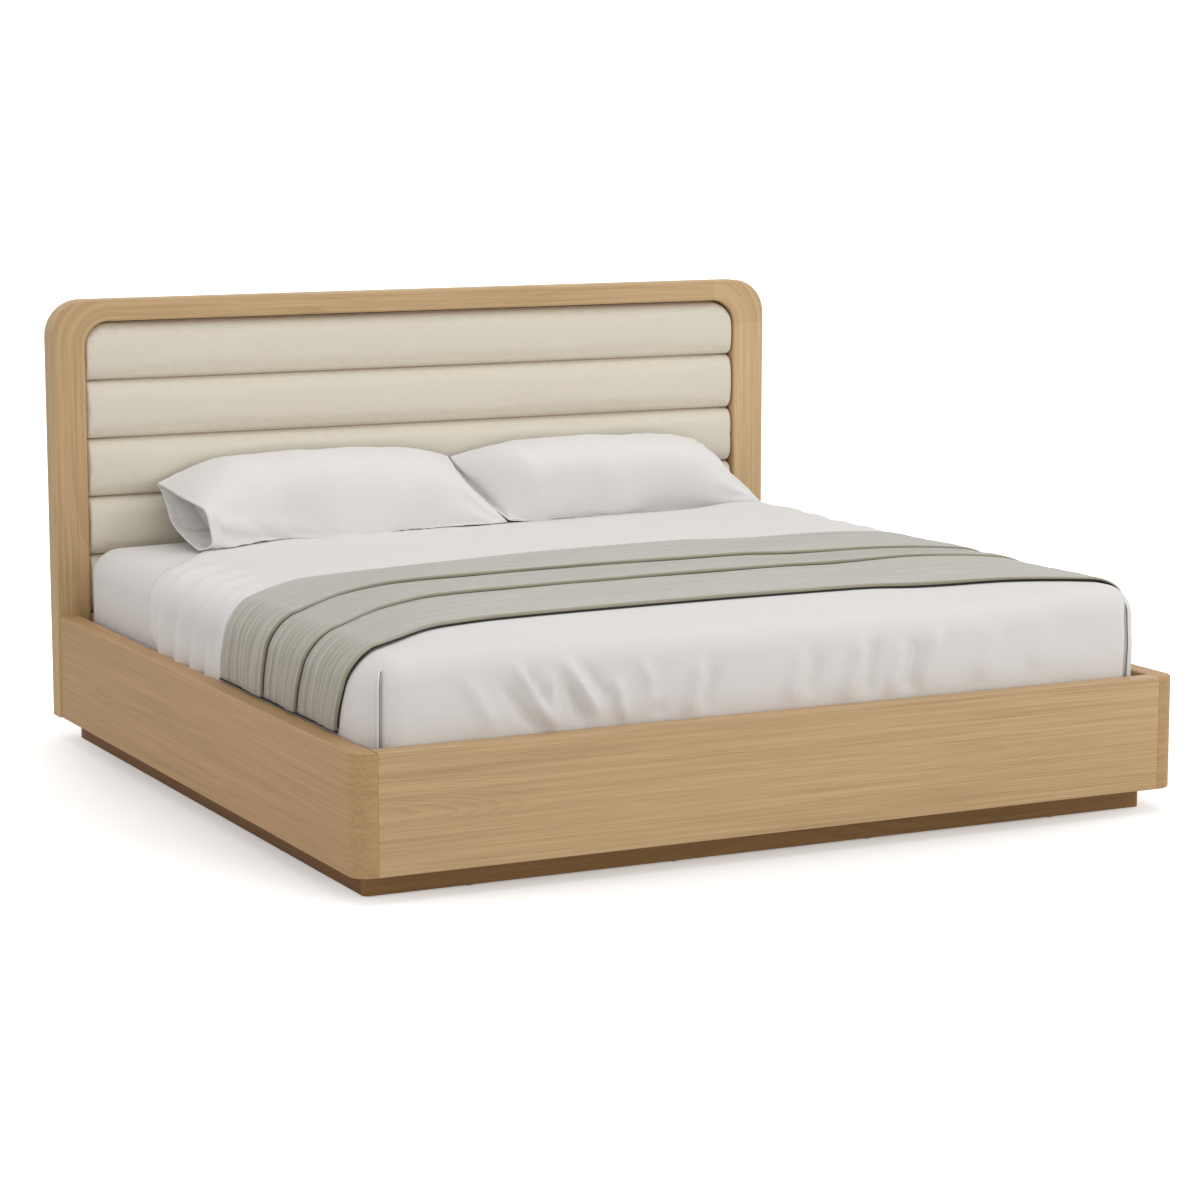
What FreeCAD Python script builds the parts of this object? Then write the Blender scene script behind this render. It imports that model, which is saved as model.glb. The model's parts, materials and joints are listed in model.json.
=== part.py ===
import FreeCAD, Part
import os
import re
import Sketcher
from FreeCAD import Placement, Rotation, Vector

# Platform bed: an oak base on a recessed plinth, an oak headboard with padded channels, and its bedding.
# Millimetres. +Z is up, the foot of the bed points to -Y and the headboard to +Y.
# The origin is on the floor, under the middle of the bed.

# Driving sizes, each written once.
SIZES = {
    # mattress and its covers
    "mattress_width": 2000,
    "mattress_length": 2000,
    "mattress_thickness": 280,
    "mattress_corner": 70,
    "mattress_edge": 50,
    "mattress_base_edge": 25,
    "mattress_sink": 91,
    "sheet_thickness": 1.5,
    "sheet_hem": 20,
    "coverlet_thickness": 10,
    "coverlet_drop": 240,
    "coverlet_head_gap": 270,
    "coverlet_corner_run": 270,
    "coverlet_corner_rise": 370,
    "coverlet_fold_count": 3,
    "coverlet_fold_pitch": 75,
    "coverlet_fold_width": 62,
    "coverlet_fold_depth": 13,
    "tuck_gap": 8.5,
    "foot_tuck_gap": 4.5,
    "head_gap": 2.5,
    "rest_gap": 0.3,
    # folded throw, measured from the foot face: its edges on the top and at the hem
    "throw_layer": 6,
    "throw_front": 350,
    "throw_second_fold": 600,
    "throw_first_fold": 870,
    "throw_back": 1170,
    "throw_hem_front": 290,
    "throw_hem_second": 530,
    "throw_hem_first": 720,
    "throw_hem_back": 990,
    "throw_bend_drop": 60,
    "hem_clearance": 2,
    # pillows
    "pillow_length": 880,
    "pillow_meeting": 93,
    "pillow_gap": 10,
    "pillow_reach": 320,
    "pillow_lean_gap": 14,
    "pillow_rise": 190,
    "pillow_crown": 110,
    "pillow_sag": 30,
    "case_thickness": 2,
    "case_mouth": 34,
    "case_seam": 8,
    "case_ease": 1,
    # base
    "rail_height": 276,
    "side_rail_thickness": 55,
    "foot_rail_thickness": 50,
    "rail_corner": 45,
    "rail_edge": 5,
    "rail_base_edge": 3,
    "seam_edge": 1,
    "plinth_height": 60,
    "plinth_board": 18,
    "plinth_side_inset": 50,
    "plinth_foot_inset": 75,
    "plinth_head_inset": 10,
    "plinth_corner": 15,
    "plinth_block": 40,
    "glide_radius": 8,
    "glide_height": 3,
    "batten": 45,
    # slatted deck
    "ledger_width": 40,
    "ledger_height": 30,
    "slat_width": 70,
    "slat_thickness": 20,
    "slat_count": 14,
    "slat_end_gap": 30,
    "slat_side_gap": 8,
    "slat_centre_gap": 3,
    "strap_width": 25,
    "strap_thickness": 1.5,
    "strap_inset": 300,
    "beam_width": 60,
    "beam_height": 80,
    "hanger_plate": 3,
    "hanger_length": 45,
    "hanger_flange": 30,
    "leg_radius": 22,
    "leg_clearance": 20,
    "leg_pitch": 500,
    "leveller_radius": 20,
    "leveller_disc": 6,
    "leveller_collar_radius": 9,
    "leveller_collar": 8,
    "leveller_stem_radius": 4,
    "leveller_stem": 50,
    "leveller_play": 0.05,
    # headboard
    "headboard_height": 1180,
    "headboard_thickness": 60,
    "headboard_overhang": 5,
    "stile_width": 95,
    "top_rail_width": 58,
    "frame_radius": 97,
    "opening_radius": 68,
    "frame_edge": 6,
    "frame_back_edge": 4,
    "panel_thickness": 10,
    "panel_rebate": 12,
    "pad_board": 12,
    "pad_gap": 4,
    "pad_recess": 3,
    "pad_count": 5,
    "pad_seam": 1,
    "pad_crown_radius": 180,
    "pad_corner": 12,
    "pad_edge": 6,
    "dowel_radius": 5,
    "dowel_length": 60,
    "dowel_spacing": 34,
    # fasteners
    "bolt_radius": 4,
    "bolt_length": 110,
    "bolt_head_radius": 6.5,
    "bolt_head": 5,
    "bolt_low": 70,
    "bolt_high": 200,
    "counterbore_radius": 8,
    "counterbore_depth": 14,
    "cap_thickness": 3,
    "nut_radius": 7,
    "nut_length": 42,
    "nut_setback": 40,
    "bracket_leg": 60,
    "bracket_plate": 3,
    "bracket_height": 70,
    "bracket_level": 55,
    "screw_head_radius": 4,
    "screw_head": 2,
    "screw_radius": 1.75,
    "screw_grip": 14,
}

# Sizes and places that follow from them.
WORKED_OUT = {
    "well_half": "=mattress_width / 2 + sheet_thickness + coverlet_thickness + tuck_gap",
    "base_half": "=well_half + side_rail_thickness",
    "board_half": "=base_half + headboard_overhang",
    "foot_space": "=foot_rail_thickness + foot_tuck_gap + coverlet_thickness + sheet_thickness",
    "base_length": "=foot_space + mattress_length + sheet_thickness + head_gap",
    "foot_face": "=-(base_length + headboard_thickness) / 2",
    "foot_inside": "=foot_face + foot_rail_thickness",
    "head_face": "=foot_face + base_length",
    "back_face": "=head_face + headboard_thickness",
    "rail_bottom": "=plinth_height",
    "rail_top": "=plinth_height + rail_height",
    "deck_top": "=rail_top - mattress_sink",
    "slat_bottom": "=deck_top - slat_thickness",
    "beam_bottom": "=slat_bottom - beam_height",
    "mattress_half": "=mattress_width / 2",
    "mattress_foot": "=foot_face + foot_space",
    "mattress_head": "=mattress_foot + mattress_length",
    "mattress_bottom": "=deck_top + rest_gap",
    "mattress_top": "=mattress_bottom + mattress_thickness",
    "sheet_half": "=mattress_half + sheet_thickness",
    "sheet_top": "=mattress_top + sheet_thickness",
    "coverlet_half": "=sheet_half + coverlet_thickness",
    "coverlet_top": "=sheet_top + coverlet_thickness",
    "coverlet_edge": "=mattress_edge + sheet_thickness + coverlet_thickness",
    "coverlet_hem": "=coverlet_top - coverlet_drop",
    "coverlet_head": "=head_face - coverlet_head_gap",
    "coverlet_foot": "=mattress_foot - sheet_thickness - coverlet_thickness",
    "throw_half": "=coverlet_half + rest_gap",
    "throw_base": "=coverlet_top + rest_gap",
    "throw_edge": "=coverlet_edge + rest_gap",
    "throw_hem": "=rail_top + hem_clearance",
    "throw_bend": "=coverlet_top - throw_bend_drop",
    "pillow_left_centre": "=pillow_meeting - (pillow_gap + pillow_length) / 2",
    "pillow_right_centre": "=pillow_meeting + (pillow_gap + pillow_length) / 2",
    "opening_half": "=board_half - stile_width",
    "opening_top": "=headboard_height - top_rail_width",
    "corner_level": "=opening_top - opening_radius",
    "corner_run": "=opening_half - opening_radius",
    "panel_front": "=back_face - panel_thickness",
    "pad_back": "=panel_front - pad_board",
    "pad_front": "=head_face + pad_recess",
    "pad_half": "=opening_half - pad_gap",
    "pad_top": "=opening_top - pad_gap",
    "pad_pitch": "=(pad_top - rail_top) / pad_count",
    "plinth_half": "=base_half - plinth_side_inset",
    "plinth_foot": "=foot_face + plinth_foot_inset",
    "plinth_head": "=head_face - plinth_head_inset",
    "bolt_line": "=well_half + side_rail_thickness / 2",
    "bolt_seat": "=back_face - counterbore_depth",
    "slat_start": "=foot_inside + slat_end_gap",
    "slat_pitch": "=(head_face - slat_end_gap - slat_width - slat_start) / (slat_count - 1)",
    "bracket_bottom": "=rail_bottom + bracket_level",
}

SIDES = {"left": -1, "right": 1}
TOLERANCE = 0.001

doc = FreeCAD.newDocument("platform_bed")
sheet = doc.addObject("Spreadsheet::Sheet", "Dim")
workings = doc.addObject("Spreadsheet::Sheet", "Workings")
pieces = {}


def fill_sheet():
    """Write every size to its own cell, under its own name."""
    for row, (alias, entry) in enumerate({**SIZES, **WORKED_OUT}.items(), start=1):
        sheet.set(f"A{row}", alias)
        sheet.set(f"B{row}", str(entry))
        sheet.setAlias(f"B{row}", alias)
    doc.recompute()


def pointed(formula):
    """A formula with each of its names pointed at the sheet."""
    return re.sub(r"\b[a-z][a-z_]+\b", lambda word: "Dim." + word.group(), formula)


def worth(formula):
    """The number that a formula of the sheet's names comes to."""
    workings.set("A1", "=" + pointed(formula))
    workings.recompute()
    return float(workings.get("A1"))


def bind(target, prop, formula):
    """Tie one property to a formula of the sheet's names."""
    target.setExpression(prop, pointed(formula))


def keep(shape_object, name):
    """Name an object as a finished piece of the bed."""
    shape_object.Label = name
    pieces[name] = shape_object
    return shape_object


def board(name, x, y, z):
    """A square-edged board between the low and high formulas of each axis."""
    block = doc.addObject("Part::Box", name)
    for prop, axis, (low, high) in zip(("Length", "Width", "Height"), "xyz", (x, y, z)):
        bind(block, prop, f"({high}) - ({low})")
        bind(block, "Placement.Base." + axis, low)
    return block


def sided(side, inner, outer):
    """The span from inner to outer on the left or the right of the bed."""
    if SIDES[side] > 0:
        return inner, outer
    return f"-({outer})", f"-({inner})"


TURNS = {
    "+x": Rotation(Vector(0, 1, 0), 90),
    "-x": Rotation(Vector(0, 1, 0), -90),
    "+y": Rotation(Vector(1, 0, 0), -90),
    "-y": Rotation(Vector(1, 0, 0), 90),
    "+z": Rotation(),
}


def rod(name, radius, length, start, axis):
    """A round rod from its start point along an axis."""
    bar = doc.addObject("Part::Cylinder", name)
    bind(bar, "Radius", radius)
    bind(bar, "Height", length)
    bar.Placement = Placement(Vector(), TURNS[axis])
    for letter, formula in zip("xyz", start):
        bind(bar, "Placement.Base." + letter, formula)
    return bar


def joined(kind, name, base, tool):
    """A boolean of two objects."""
    result = doc.addObject("Part::" + kind, name)
    result.Base = base
    result.Tool = tool
    return result


def cut(name, base, *tools):
    """The base with every tool cut out of it."""
    for number, tool in enumerate(tools, start=1):
        last = number == len(tools)
        base = joined("Cut", name if last else f"{name}_bored_{number}", base, tool)
    return base


def group(name, members):
    """Separate solids that share one node."""
    cluster = doc.addObject("Part::Compound", name)
    cluster.Links = members
    return cluster


def fused(name, members):
    """Touching solids made one."""
    whole = doc.addObject("Part::MultiFuse", name)
    whole.Shapes = members
    whole.Refine = True
    return whole


def runs(edge, axis):
    """Whether an edge is straight and runs along an axis."""
    if edge.Curve.TypeId != "Part::GeomLine":
        return False
    return abs(abs(getattr(edge.tangentAt(edge.FirstParameter), axis)) - 1) < TOLERANCE


def lies(edge, axis, place):
    """Whether a whole edge lies at one place of an axis."""
    bounds = edge.BoundBox
    low, high = getattr(bounds, axis.upper() + "Min"), getattr(bounds, axis.upper() + "Max")
    return abs(low - place) < TOLERANCE and abs(high - place) < TOLERANCE


def eased(name, base, *rules):
    """Round the edges of base: each rule is a radius formula and a test of an edge."""
    doc.recompute()
    rounded = doc.addObject("Part::Fillet", name)
    rounded.Base = base
    chosen = []
    for radius, test in rules:
        amount = worth(radius)
        for number, edge in enumerate(base.Shape.Edges, start=1):
            if test(edge):
                chosen.append((number, amount, amount))
    rounded.Edges = chosen
    return rounded


def outlined(name, plane, points):
    """A body with one closed outline, every corner tied to two formulas."""
    body = doc.addObject("PartDesign::Body", name)
    sketch = body.newObject("Sketcher::SketchObject", name + "_outline")
    support = [feature for feature in body.Origin.OriginFeatures if feature.Role == plane][0]
    sketch.AttachmentSupport = (support, [""])
    sketch.MapMode = "FlatFace"
    corners = [Vector(worth(across), worth(up), 0) for across, up in points]
    for number, corner in enumerate(corners):
        sketch.addGeometry(Part.LineSegment(corner, corners[(number + 1) % len(corners)]), False)
    for number in range(len(corners)):
        follower = (number + 1) % len(corners)
        sketch.addConstraint(Sketcher.Constraint("Coincident", number, 2, follower, 1))
    for number, (across, up) in enumerate(points):
        for kind, axis, formula in (("DistanceX", -2, across), ("DistanceY", -1, up)):
            if formula == "0":
                sketch.addConstraint(Sketcher.Constraint("PointOnObject", number, 1, axis))
            else:
                constraint = Sketcher.Constraint(kind, -1, 1, number, 1, worth(formula))
                index = sketch.addConstraint(constraint)
                bind(sketch, f"Constraints[{index}]", formula)
    return body, sketch


def padded_body(name, plane, points, length):
    """A body made by padding one outline."""
    body, sketch = outlined(name, plane, points)
    pad = body.newObject("PartDesign::Pad", name + "_pad")
    pad.Profile = sketch
    bind(pad, "Length", length)
    return body


def turned_body(name, points):
    """A body turned about the upright axis; points are radius and height."""
    body, sketch = outlined(name, "XZ_Plane", points)
    turn = body.newObject("PartDesign::Revolution", name + "_turn")
    turn.Profile = sketch
    turn.ReferenceAxis = (sketch, ["V_Axis"])
    turn.Angle = 360
    return body


def screw(name, start, axis, depth):
    """One wood screw: a flat head at the start point and a shank driven along the axis."""
    shank = rod(name + "_shank", "screw_radius", depth, start, axis)
    head = rod(name + "_head", "screw_head_radius", "screw_head", start, axis)
    return joined("Fuse", name, head, shank)


# Headboard fasteners: bed bolts from the back of each stile into barrel nuts in the side rails.
def bed_bolts():
    bolts, bores, nuts, caps = [], [], {}, []
    for side, sign in SIDES.items():
        nuts[side] = []
        for level in ("bolt_low", "bolt_high"):
            tag = f"{side}_{level}"
            line = f"{sign} * bolt_line"
            height = f"rail_bottom + {level}"
            seat = (line, "bolt_seat", height)
            shank = rod(f"shank_{tag}", "bolt_radius", "bolt_length", seat, "-y")
            head = rod(f"bolt_head_{tag}", "bolt_head_radius", "bolt_head", seat, "+y")
            bolts.append(joined("Fuse", f"bolt_{tag}", head, shank))
            well = rod(f"counterbore_{tag}", "counterbore_radius", "counterbore_depth", seat, "+y")
            bores.append(joined("Fuse", f"bolt_bore_{tag}", well, shank))
            cap_face = (line, "back_face - cap_thickness", height)
            caps.append(rod(f"cap_{tag}", "counterbore_radius", "cap_thickness", cap_face, "+y"))
            mouth = (f"{sign} * well_half", "head_face - nut_setback", height)
            barrel = rod(f"barrel_{tag}", "nut_radius", "nut_length", mouth, "+x" if sign > 0 else "-x")
            nuts[side].append(joined("Cut", f"nut_{tag}", barrel, shank))
            nuts[side].append(joined("Fuse", f"rail_bore_{tag}", barrel, shank))
    keep(group("headboard_bolts", bolts), "headboard_bolts")
    keep(group("bolt_caps", caps), "bolt_caps")
    barrels = nuts["left"][0::2] + nuts["right"][0::2]
    keep(group("barrel_nuts", barrels), "barrel_nuts")
    rail_bores = {side: group(f"rail_bores_{side}", nuts[side][1::2]) for side in SIDES}
    return group("bolt_bores", bores), rail_bores


# Headboard frame: one rounded outline, parted into stiles, corner pieces and a top rail on dowels.
def frame_dowels():
    pins = []
    middle = "head_face + headboard_thickness / 2"
    for side, sign in SIDES.items():
        for offset in (-1, 1):
            shift = f"{offset} * dowel_spacing / 2"
            across = f"{sign} * (opening_half + stile_width / 2) + {shift}"
            foot = (across, middle, "corner_level - dowel_length / 2")
            pins.append(rod(f"stile_dowel_{side}_{offset + 1}", "dowel_radius", "dowel_length", foot, "+z"))
            inner = f"{sign} * corner_run - dowel_length / 2"
            start = (inner, f"{middle} + {shift}", "opening_top + top_rail_width / 2")
            pins.append(rod(f"rail_dowel_{side}_{offset + 1}", "dowel_radius", "dowel_length", start, "+x"))
    return keep(group("frame_dowels", pins), "frame_dowels")


def panel_screws():
    spots = []
    for side, sign in SIDES.items():
        for number in range(1, 6):
            height = f"rail_bottom + {number} * (opening_top - rail_bottom) / 6"
            spots.append((f"{sign} * (opening_half + panel_rebate / 2)", "back_face", height))
    for number in range(1, 4):
        across = f"-opening_half + {number} * opening_half / 2"
        spots.append((across, "back_face", "opening_top + panel_rebate / 2"))
        spots.append((across, "back_face", "rail_bottom + rail_height / 2"))
        spots.append((across, "back_face", "rail_top + pad_pitch / 2"))
    depth = "panel_thickness + screw_grip / 2"
    screws = [screw(f"panel_screw_{n}", spot, "-y", depth) for n, spot in enumerate(spots, start=1)]
    return keep(group("back_panel_screws", screws), "back_panel_screws")


def headboard(bolt_bores):
    dowels = frame_dowels()
    screws = panel_screws()
    depth = ("head_face", "back_face")
    blank = board("frame_blank", ("-board_half", "board_half"), depth, ("rail_bottom", "headboard_height"))
    top, crest = worth("headboard_height"), worth("opening_top")
    front, back, floor_line = worth("head_face"), worth("back_face"), worth("rail_bottom")
    gap_half = worth("opening_half")
    outer = eased("frame_outer", blank, ("frame_radius", lambda e: runs(e, "y") and lies(e, "z", top)))
    hole = board("opening_blank", ("-opening_half", "opening_half"), depth, ("rail_bottom", "opening_top"))
    inner = eased("opening", hole, ("opening_radius", lambda e: runs(e, "y") and lies(e, "z", crest)))
    ring = joined("Cut", "frame_ring", outer, inner)

    def on_front(edge):
        return lies(edge, "y", front) and not lies(edge, "z", floor_line)

    def on_back(edge):
        middle = edge.CenterOfMass
        outside = abs(middle.x) > gap_half + TOLERANCE or middle.z > crest + TOLERANCE
        return lies(edge, "y", back) and outside and not lies(edge, "z", floor_line)

    soft = eased("frame_soft", ring, ("frame_edge", on_front), ("frame_back_edge", on_back))
    wide = ("-(opening_half + panel_rebate)", "opening_half + panel_rebate")
    sheet_depth = ("panel_front", "back_face")
    tall = ("rail_bottom", "opening_top + panel_rebate")
    rebate = board("panel_rebate_space", wide, sheet_depth, tall)
    frame = cut("frame_bored", soft, rebate, dowels, bolt_bores, screws)
    for side in SIDES:
        stile_zone = board(f"stile_zone_{side}", sided(side, "opening_half", "board_half"), depth,
                           ("rail_bottom", "corner_level"))
        keep(joined("Common", f"headboard_stile_{side}", frame, stile_zone), f"headboard_stile_{side}")
        corner_zone = board(f"corner_zone_{side}", sided(side, "corner_run", "board_half"), depth,
                            ("corner_level", "headboard_height"))
        keep(joined("Common", f"headboard_corner_{side}", frame, corner_zone), f"headboard_corner_{side}")
    rail_zone = board("top_rail_zone", ("-corner_run", "corner_run"), depth,
                      ("corner_level", "headboard_height"))
    keep(joined("Common", "headboard_top_rail", frame, rail_zone), "headboard_top_rail")

    lower = board("lower_rail_blank", ("-opening_half", "opening_half"), ("head_face", "panel_front"),
                  ("rail_bottom", "rail_top"))
    keep(cut("headboard_lower_rail", lower, screws), "headboard_lower_rail")
    panel = board("back_panel_blank", wide, sheet_depth, tall)
    keep(cut("headboard_back_panel", panel, screws), "headboard_back_panel")
    backer = board("pad_board_blank", ("-pad_half", "pad_half"), ("pad_back", "panel_front"),
                   ("rail_top", "pad_top"))
    crown = worth("pad_top")
    rounded = eased("pad_board_rounded", backer,
                    ("opening_radius - pad_gap", lambda e: runs(e, "y") and lies(e, "z", crown)))
    keep(cut("headboard_pad_board", rounded, screws), "headboard_pad_board")


# Channel pads: each is a crowned bolster with rounded ends, seated on the pad board.
def channel_pads():
    count = int(worth("pad_count"))
    for number in range(count):
        low = f"rail_top + {number} * pad_pitch + pad_seam"
        high = f"rail_top + {number + 1} * pad_pitch"
        block = board(f"pad_block_{number + 1}", ("-pad_half", "pad_half"), ("pad_front", "pad_back"),
                      (low, high))
        centre = ("-pad_half", "pad_front + pad_crown_radius", f"({low} + {high}) / 2")
        roll = rod(f"pad_roll_{number + 1}", "pad_crown_radius", "2 * pad_half", centre, "+x")
        crowned = joined("Common", f"pad_crowned_{number + 1}", block, roll)
        highest = worth(high)
        topmost = number == count - 1

        def upper(edge):
            return topmost and runs(edge, "y") and lies(edge, "z", highest)

        def corner(edge):
            return runs(edge, "y") and not upper(edge)

        cornered = eased(f"pad_cornered_{number + 1}", crowned, ("pad_corner", corner),
                         ("opening_radius - pad_gap", upper))
        doc.recompute()
        behind = worth("pad_back")

        def rim(edge):
            return not lies(edge, "y", behind) and not runs(edge, "y")

        name = f"headboard_pad_{number + 1}"
        keep(eased(name, cornered, ("pad_edge", rim)), name)


# Base rails: the side rails run through and turn the foot corners; the foot rail stands between them.
def base_rails(rail_bores, ledger_holes, bracket_holes):
    top, bottom = worth("rail_top"), worth("rail_bottom")
    foot, inside = worth("foot_face"), worth("foot_inside")
    head, well, outer = worth("head_face"), worth("well_half"), worth("base_half")
    upright = ("rail_bottom", "rail_top")
    for side, sign in SIDES.items():
        blank = board(f"side_rail_blank_{side}", sided(side, "well_half", "base_half"),
                      ("foot_face", "head_face"), upright)

        def turn(edge):
            return runs(edge, "z") and lies(edge, "y", foot) and lies(edge, "x", sign * outer)

        turned = eased(f"side_rail_turned_{side}", blank, ("rail_corner", turn))

        def upper(edge):
            return lies(edge, "z", top) and not lies(edge, "y", head)

        def under(edge):
            level = lies(edge, "z", bottom)
            return level and not lies(edge, "y", head) and not lies(edge, "x", sign * well)

        def seam(edge):
            return runs(edge, "z") and lies(edge, "y", foot) and lies(edge, "x", sign * well)

        soft = eased(f"side_rail_soft_{side}", turned, ("rail_edge", upper), ("rail_base_edge", under),
                     ("seam_edge", seam))
        name = f"side_rail_{side}"
        keep(cut(name, soft, rail_bores[side], ledger_holes[side], bracket_holes[side]), name)

    blank = board("foot_rail_blank", ("-well_half", "well_half"), ("foot_face", "foot_inside"), upright)
    soft = eased("foot_rail_soft", blank,
                 ("rail_edge", lambda e: runs(e, "x") and lies(e, "z", top)),
                 ("rail_base_edge", lambda e: runs(e, "x") and lies(e, "z", bottom) and lies(e, "y", foot)),
                 ("seam_edge", lambda e: runs(e, "z") and lies(e, "y", foot)))
    keep(cut("foot_rail", soft, bracket_holes["left"], bracket_holes["right"]), "foot_rail")


# Ledgers carry the slats, battens stand the base on its plinth.
def ledgers():
    holes = {}
    everything = []
    for side, sign in SIDES.items():
        span = sided(side, "well_half - ledger_width", "well_half")
        blank = board(f"ledger_blank_{side}", span, ("foot_inside", "head_face"),
                      ("slat_bottom - ledger_height", "slat_bottom"))
        screws = []
        for number in range(1, 7):
            place = f"foot_inside + {number} * (head_face - foot_inside) / 7"
            face = (f"{sign} * (well_half - ledger_width)", place, "slat_bottom - ledger_height / 2")
            depth = "ledger_width + screw_grip"
            screws.append(screw(f"ledger_screw_{side}_{number}", face, "+x" if sign > 0 else "-x", depth))
        holes[side] = group(f"ledger_holes_{side}", screws)
        everything += screws
        keep(cut(f"ledger_{side}", blank, holes[side]), f"ledger_{side}")
    keep(group("ledger_screws", everything), "ledger_screws")
    return holes


def battens():
    upright = ("rail_bottom", "rail_bottom + batten")
    for side in SIDES:
        span = sided(side, "well_half - batten", "well_half")
        name = f"side_batten_{side}"
        keep(board(name, span, ("foot_inside", "head_face"), upright), name)
    between = ("-(well_half - batten)", "well_half - batten")
    keep(board("foot_batten", between, ("foot_inside", "foot_inside + batten"), upright), "foot_batten")
    keep(board("head_batten", between, ("head_face - batten", "head_face"), upright), "head_batten")


# Steel angle brackets in the two foot corners.
def corner_brackets():
    holes = {}
    everything = []
    for side, sign in SIDES.items():
        way = "+x" if sign > 0 else "-x"
        reach, wall = f"{-sign} * bracket_leg", f"{-sign} * bracket_plate"
        outline = [("0", "0"), (reach, "0"), (reach, "bracket_plate"), (wall, "bracket_plate"),
                   (wall, "bracket_leg"), ("0", "bracket_leg")]
        angle = padded_body(f"bracket_blank_{side}", "XY_Plane", outline, "bracket_height")
        bind(angle, "Placement.Base.x", f"{sign} * well_half")
        bind(angle, "Placement.Base.y", "foot_inside")
        bind(angle, "Placement.Base.z", "bracket_bottom")
        screws = []
        for number in (1, 2):
            height = f"bracket_bottom + {number} * bracket_height / 3"
            hole = "2 * bracket_leg / 3"
            on_side = (f"{sign} * (well_half - bracket_plate)", f"foot_inside + {hole}", height)
            on_foot = (f"{sign} * (well_half - {hole})", "foot_inside + bracket_plate", height)
            depth = "bracket_plate + screw_grip"
            screws.append(screw(f"bracket_screw_{side}_{number}", on_side, way, depth))
            screws.append(screw(f"foot_bracket_screw_{side}_{number}", on_foot, "-y", depth))
        holes[side] = group(f"bracket_holes_{side}", screws)
        everything += screws
        keep(cut(f"foot_bracket_{side}", angle, holes[side]), f"foot_bracket_{side}")
    keep(group("bracket_screws", everything), "bracket_screws")
    return holes


# Plinth: four boards set back under the rails, on felt glides.
def plinth():
    upright = ("glide_height", "plinth_height")
    wide = ("-plinth_half", "plinth_half")
    foot = worth("plinth_foot")
    front = board("plinth_front_blank", wide, ("plinth_foot", "plinth_foot + plinth_board"), upright)
    keep(eased("plinth_front", front, ("plinth_corner", lambda e: runs(e, "z") and lies(e, "y", foot))),
         "plinth_front")
    keep(board("plinth_back", wide, ("plinth_head - plinth_board", "plinth_head"), upright), "plinth_back")
    between = ("plinth_foot + plinth_board", "plinth_head - plinth_board")
    blocks, glides = [], []
    for side, sign in SIDES.items():
        span = sided(side, "plinth_half - plinth_board", "plinth_half")
        keep(board(f"plinth_{side}", span, between, upright), f"plinth_{side}")
        inner = sided(side, "plinth_half - plinth_board - plinth_block", "plinth_half - plinth_board")
        near = (between[0], f"{between[0]} + plinth_block")
        far = (f"{between[1]} - plinth_block", between[1])
        blocks.append(board(f"foot_block_{side}", inner, near, upright))
        blocks.append(board(f"head_block_{side}", inner, far, upright))
        line = f"{sign} * (plinth_half - plinth_board / 2)"
        for number in range(1, 4):
            spot = (line, f"{between[0]} + {number} * ({between[1]} - ({between[0]})) / 4", "0")
            glides.append(rod(f"glide_{side}_{number}", "glide_radius", "glide_height", spot, "+z"))
    lines = {"foot": "plinth_foot + plinth_board / 2", "head": "plinth_head - plinth_board / 2"}
    for number in range(4):
        across = f"-plinth_half + ({number} + 0.5) * plinth_half / 2"
        for end, place in lines.items():
            spot = (across, place, "0")
            glides.append(rod(f"glide_{end}_{number}", "glide_radius", "glide_height", spot, "+z"))
    keep(group("plinth_corner_blocks", blocks), "plinth_corner_blocks")
    keep(group("felt_glides", glides), "felt_glides")


# Slatted deck: a centre beam in two hangers, legs with levelling feet, and two half sets of slats.
def centre_beam():
    half = "beam_width / 2"
    run = ("foot_inside + hanger_plate", "head_face - hanger_plate")
    keep(board("centre_beam", (f"-{half}", half), run, ("beam_bottom", "slat_bottom")), "centre_beam")
    upright = ("beam_bottom - hanger_plate", "slat_bottom - hanger_plate")
    ends = {"foot": ("foot_inside", "foot_inside + hanger_plate", f"{run[0]} + hanger_length"),
            "head": ("head_face", "head_face - hanger_plate", f"{run[1]} - hanger_length")}
    for end, (wall, plate, reach) in ends.items():
        order = 1 if end == "foot" else -1
        seat = (plate, reach)[::order]
        cradle = board(f"cradle_{end}", (f"-({half} + hanger_plate)", f"{half} + hanger_plate"), seat,
                       upright)
        space = board(f"cradle_space_{end}", (f"-{half}", half), seat, ("beam_bottom", "slat_bottom"))
        trough = joined("Cut", f"trough_{end}", cradle, space)
        flange = board(f"flange_{end}", (f"-({half} + hanger_flange)", f"{half} + hanger_flange"),
                       (wall, plate)[::order], upright)
        keep(fused(f"beam_hanger_{end}", [trough, flange]), f"beam_hanger_{end}")


def centre_legs():
    legs = []
    sockets = {"foot": "-leg_pitch", "middle": "0", "head": "leg_pitch"}
    stack = "leveller_disc + leveller_collar"
    tip = f"{stack} + leveller_stem"
    for place, shift in sockets.items():
        along = f"(foot_face + head_face) / 2 + {shift}"
        post = rod(f"leg_post_{place}", "leg_radius", "beam_bottom - leg_clearance",
                   ("0", along, "leg_clearance"), "+z")
        bore = rod(f"leg_bore_{place}", "leveller_stem_radius + leveller_play",
                   f"{tip} + leveller_disc - leg_clearance", ("0", along, "leg_clearance"), "+z")
        legs.append(joined("Cut", f"leg_{place}", post, bore))
        name = f"levelling_foot_{place}"
        disc, collar, stem = "leveller_radius", "leveller_collar_radius", "leveller_stem_radius"
        foot = turned_body(name, [("0", "0"), (disc, "0"), (disc, "leveller_disc"), (collar, "leveller_disc"),
                                  (collar, stack), (stem, stack), (stem, tip), ("0", tip)])
        bind(foot, "Placement.Base.y", along)
        keep(foot, name)
    keep(group("centre_legs", legs), "centre_legs")


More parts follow.
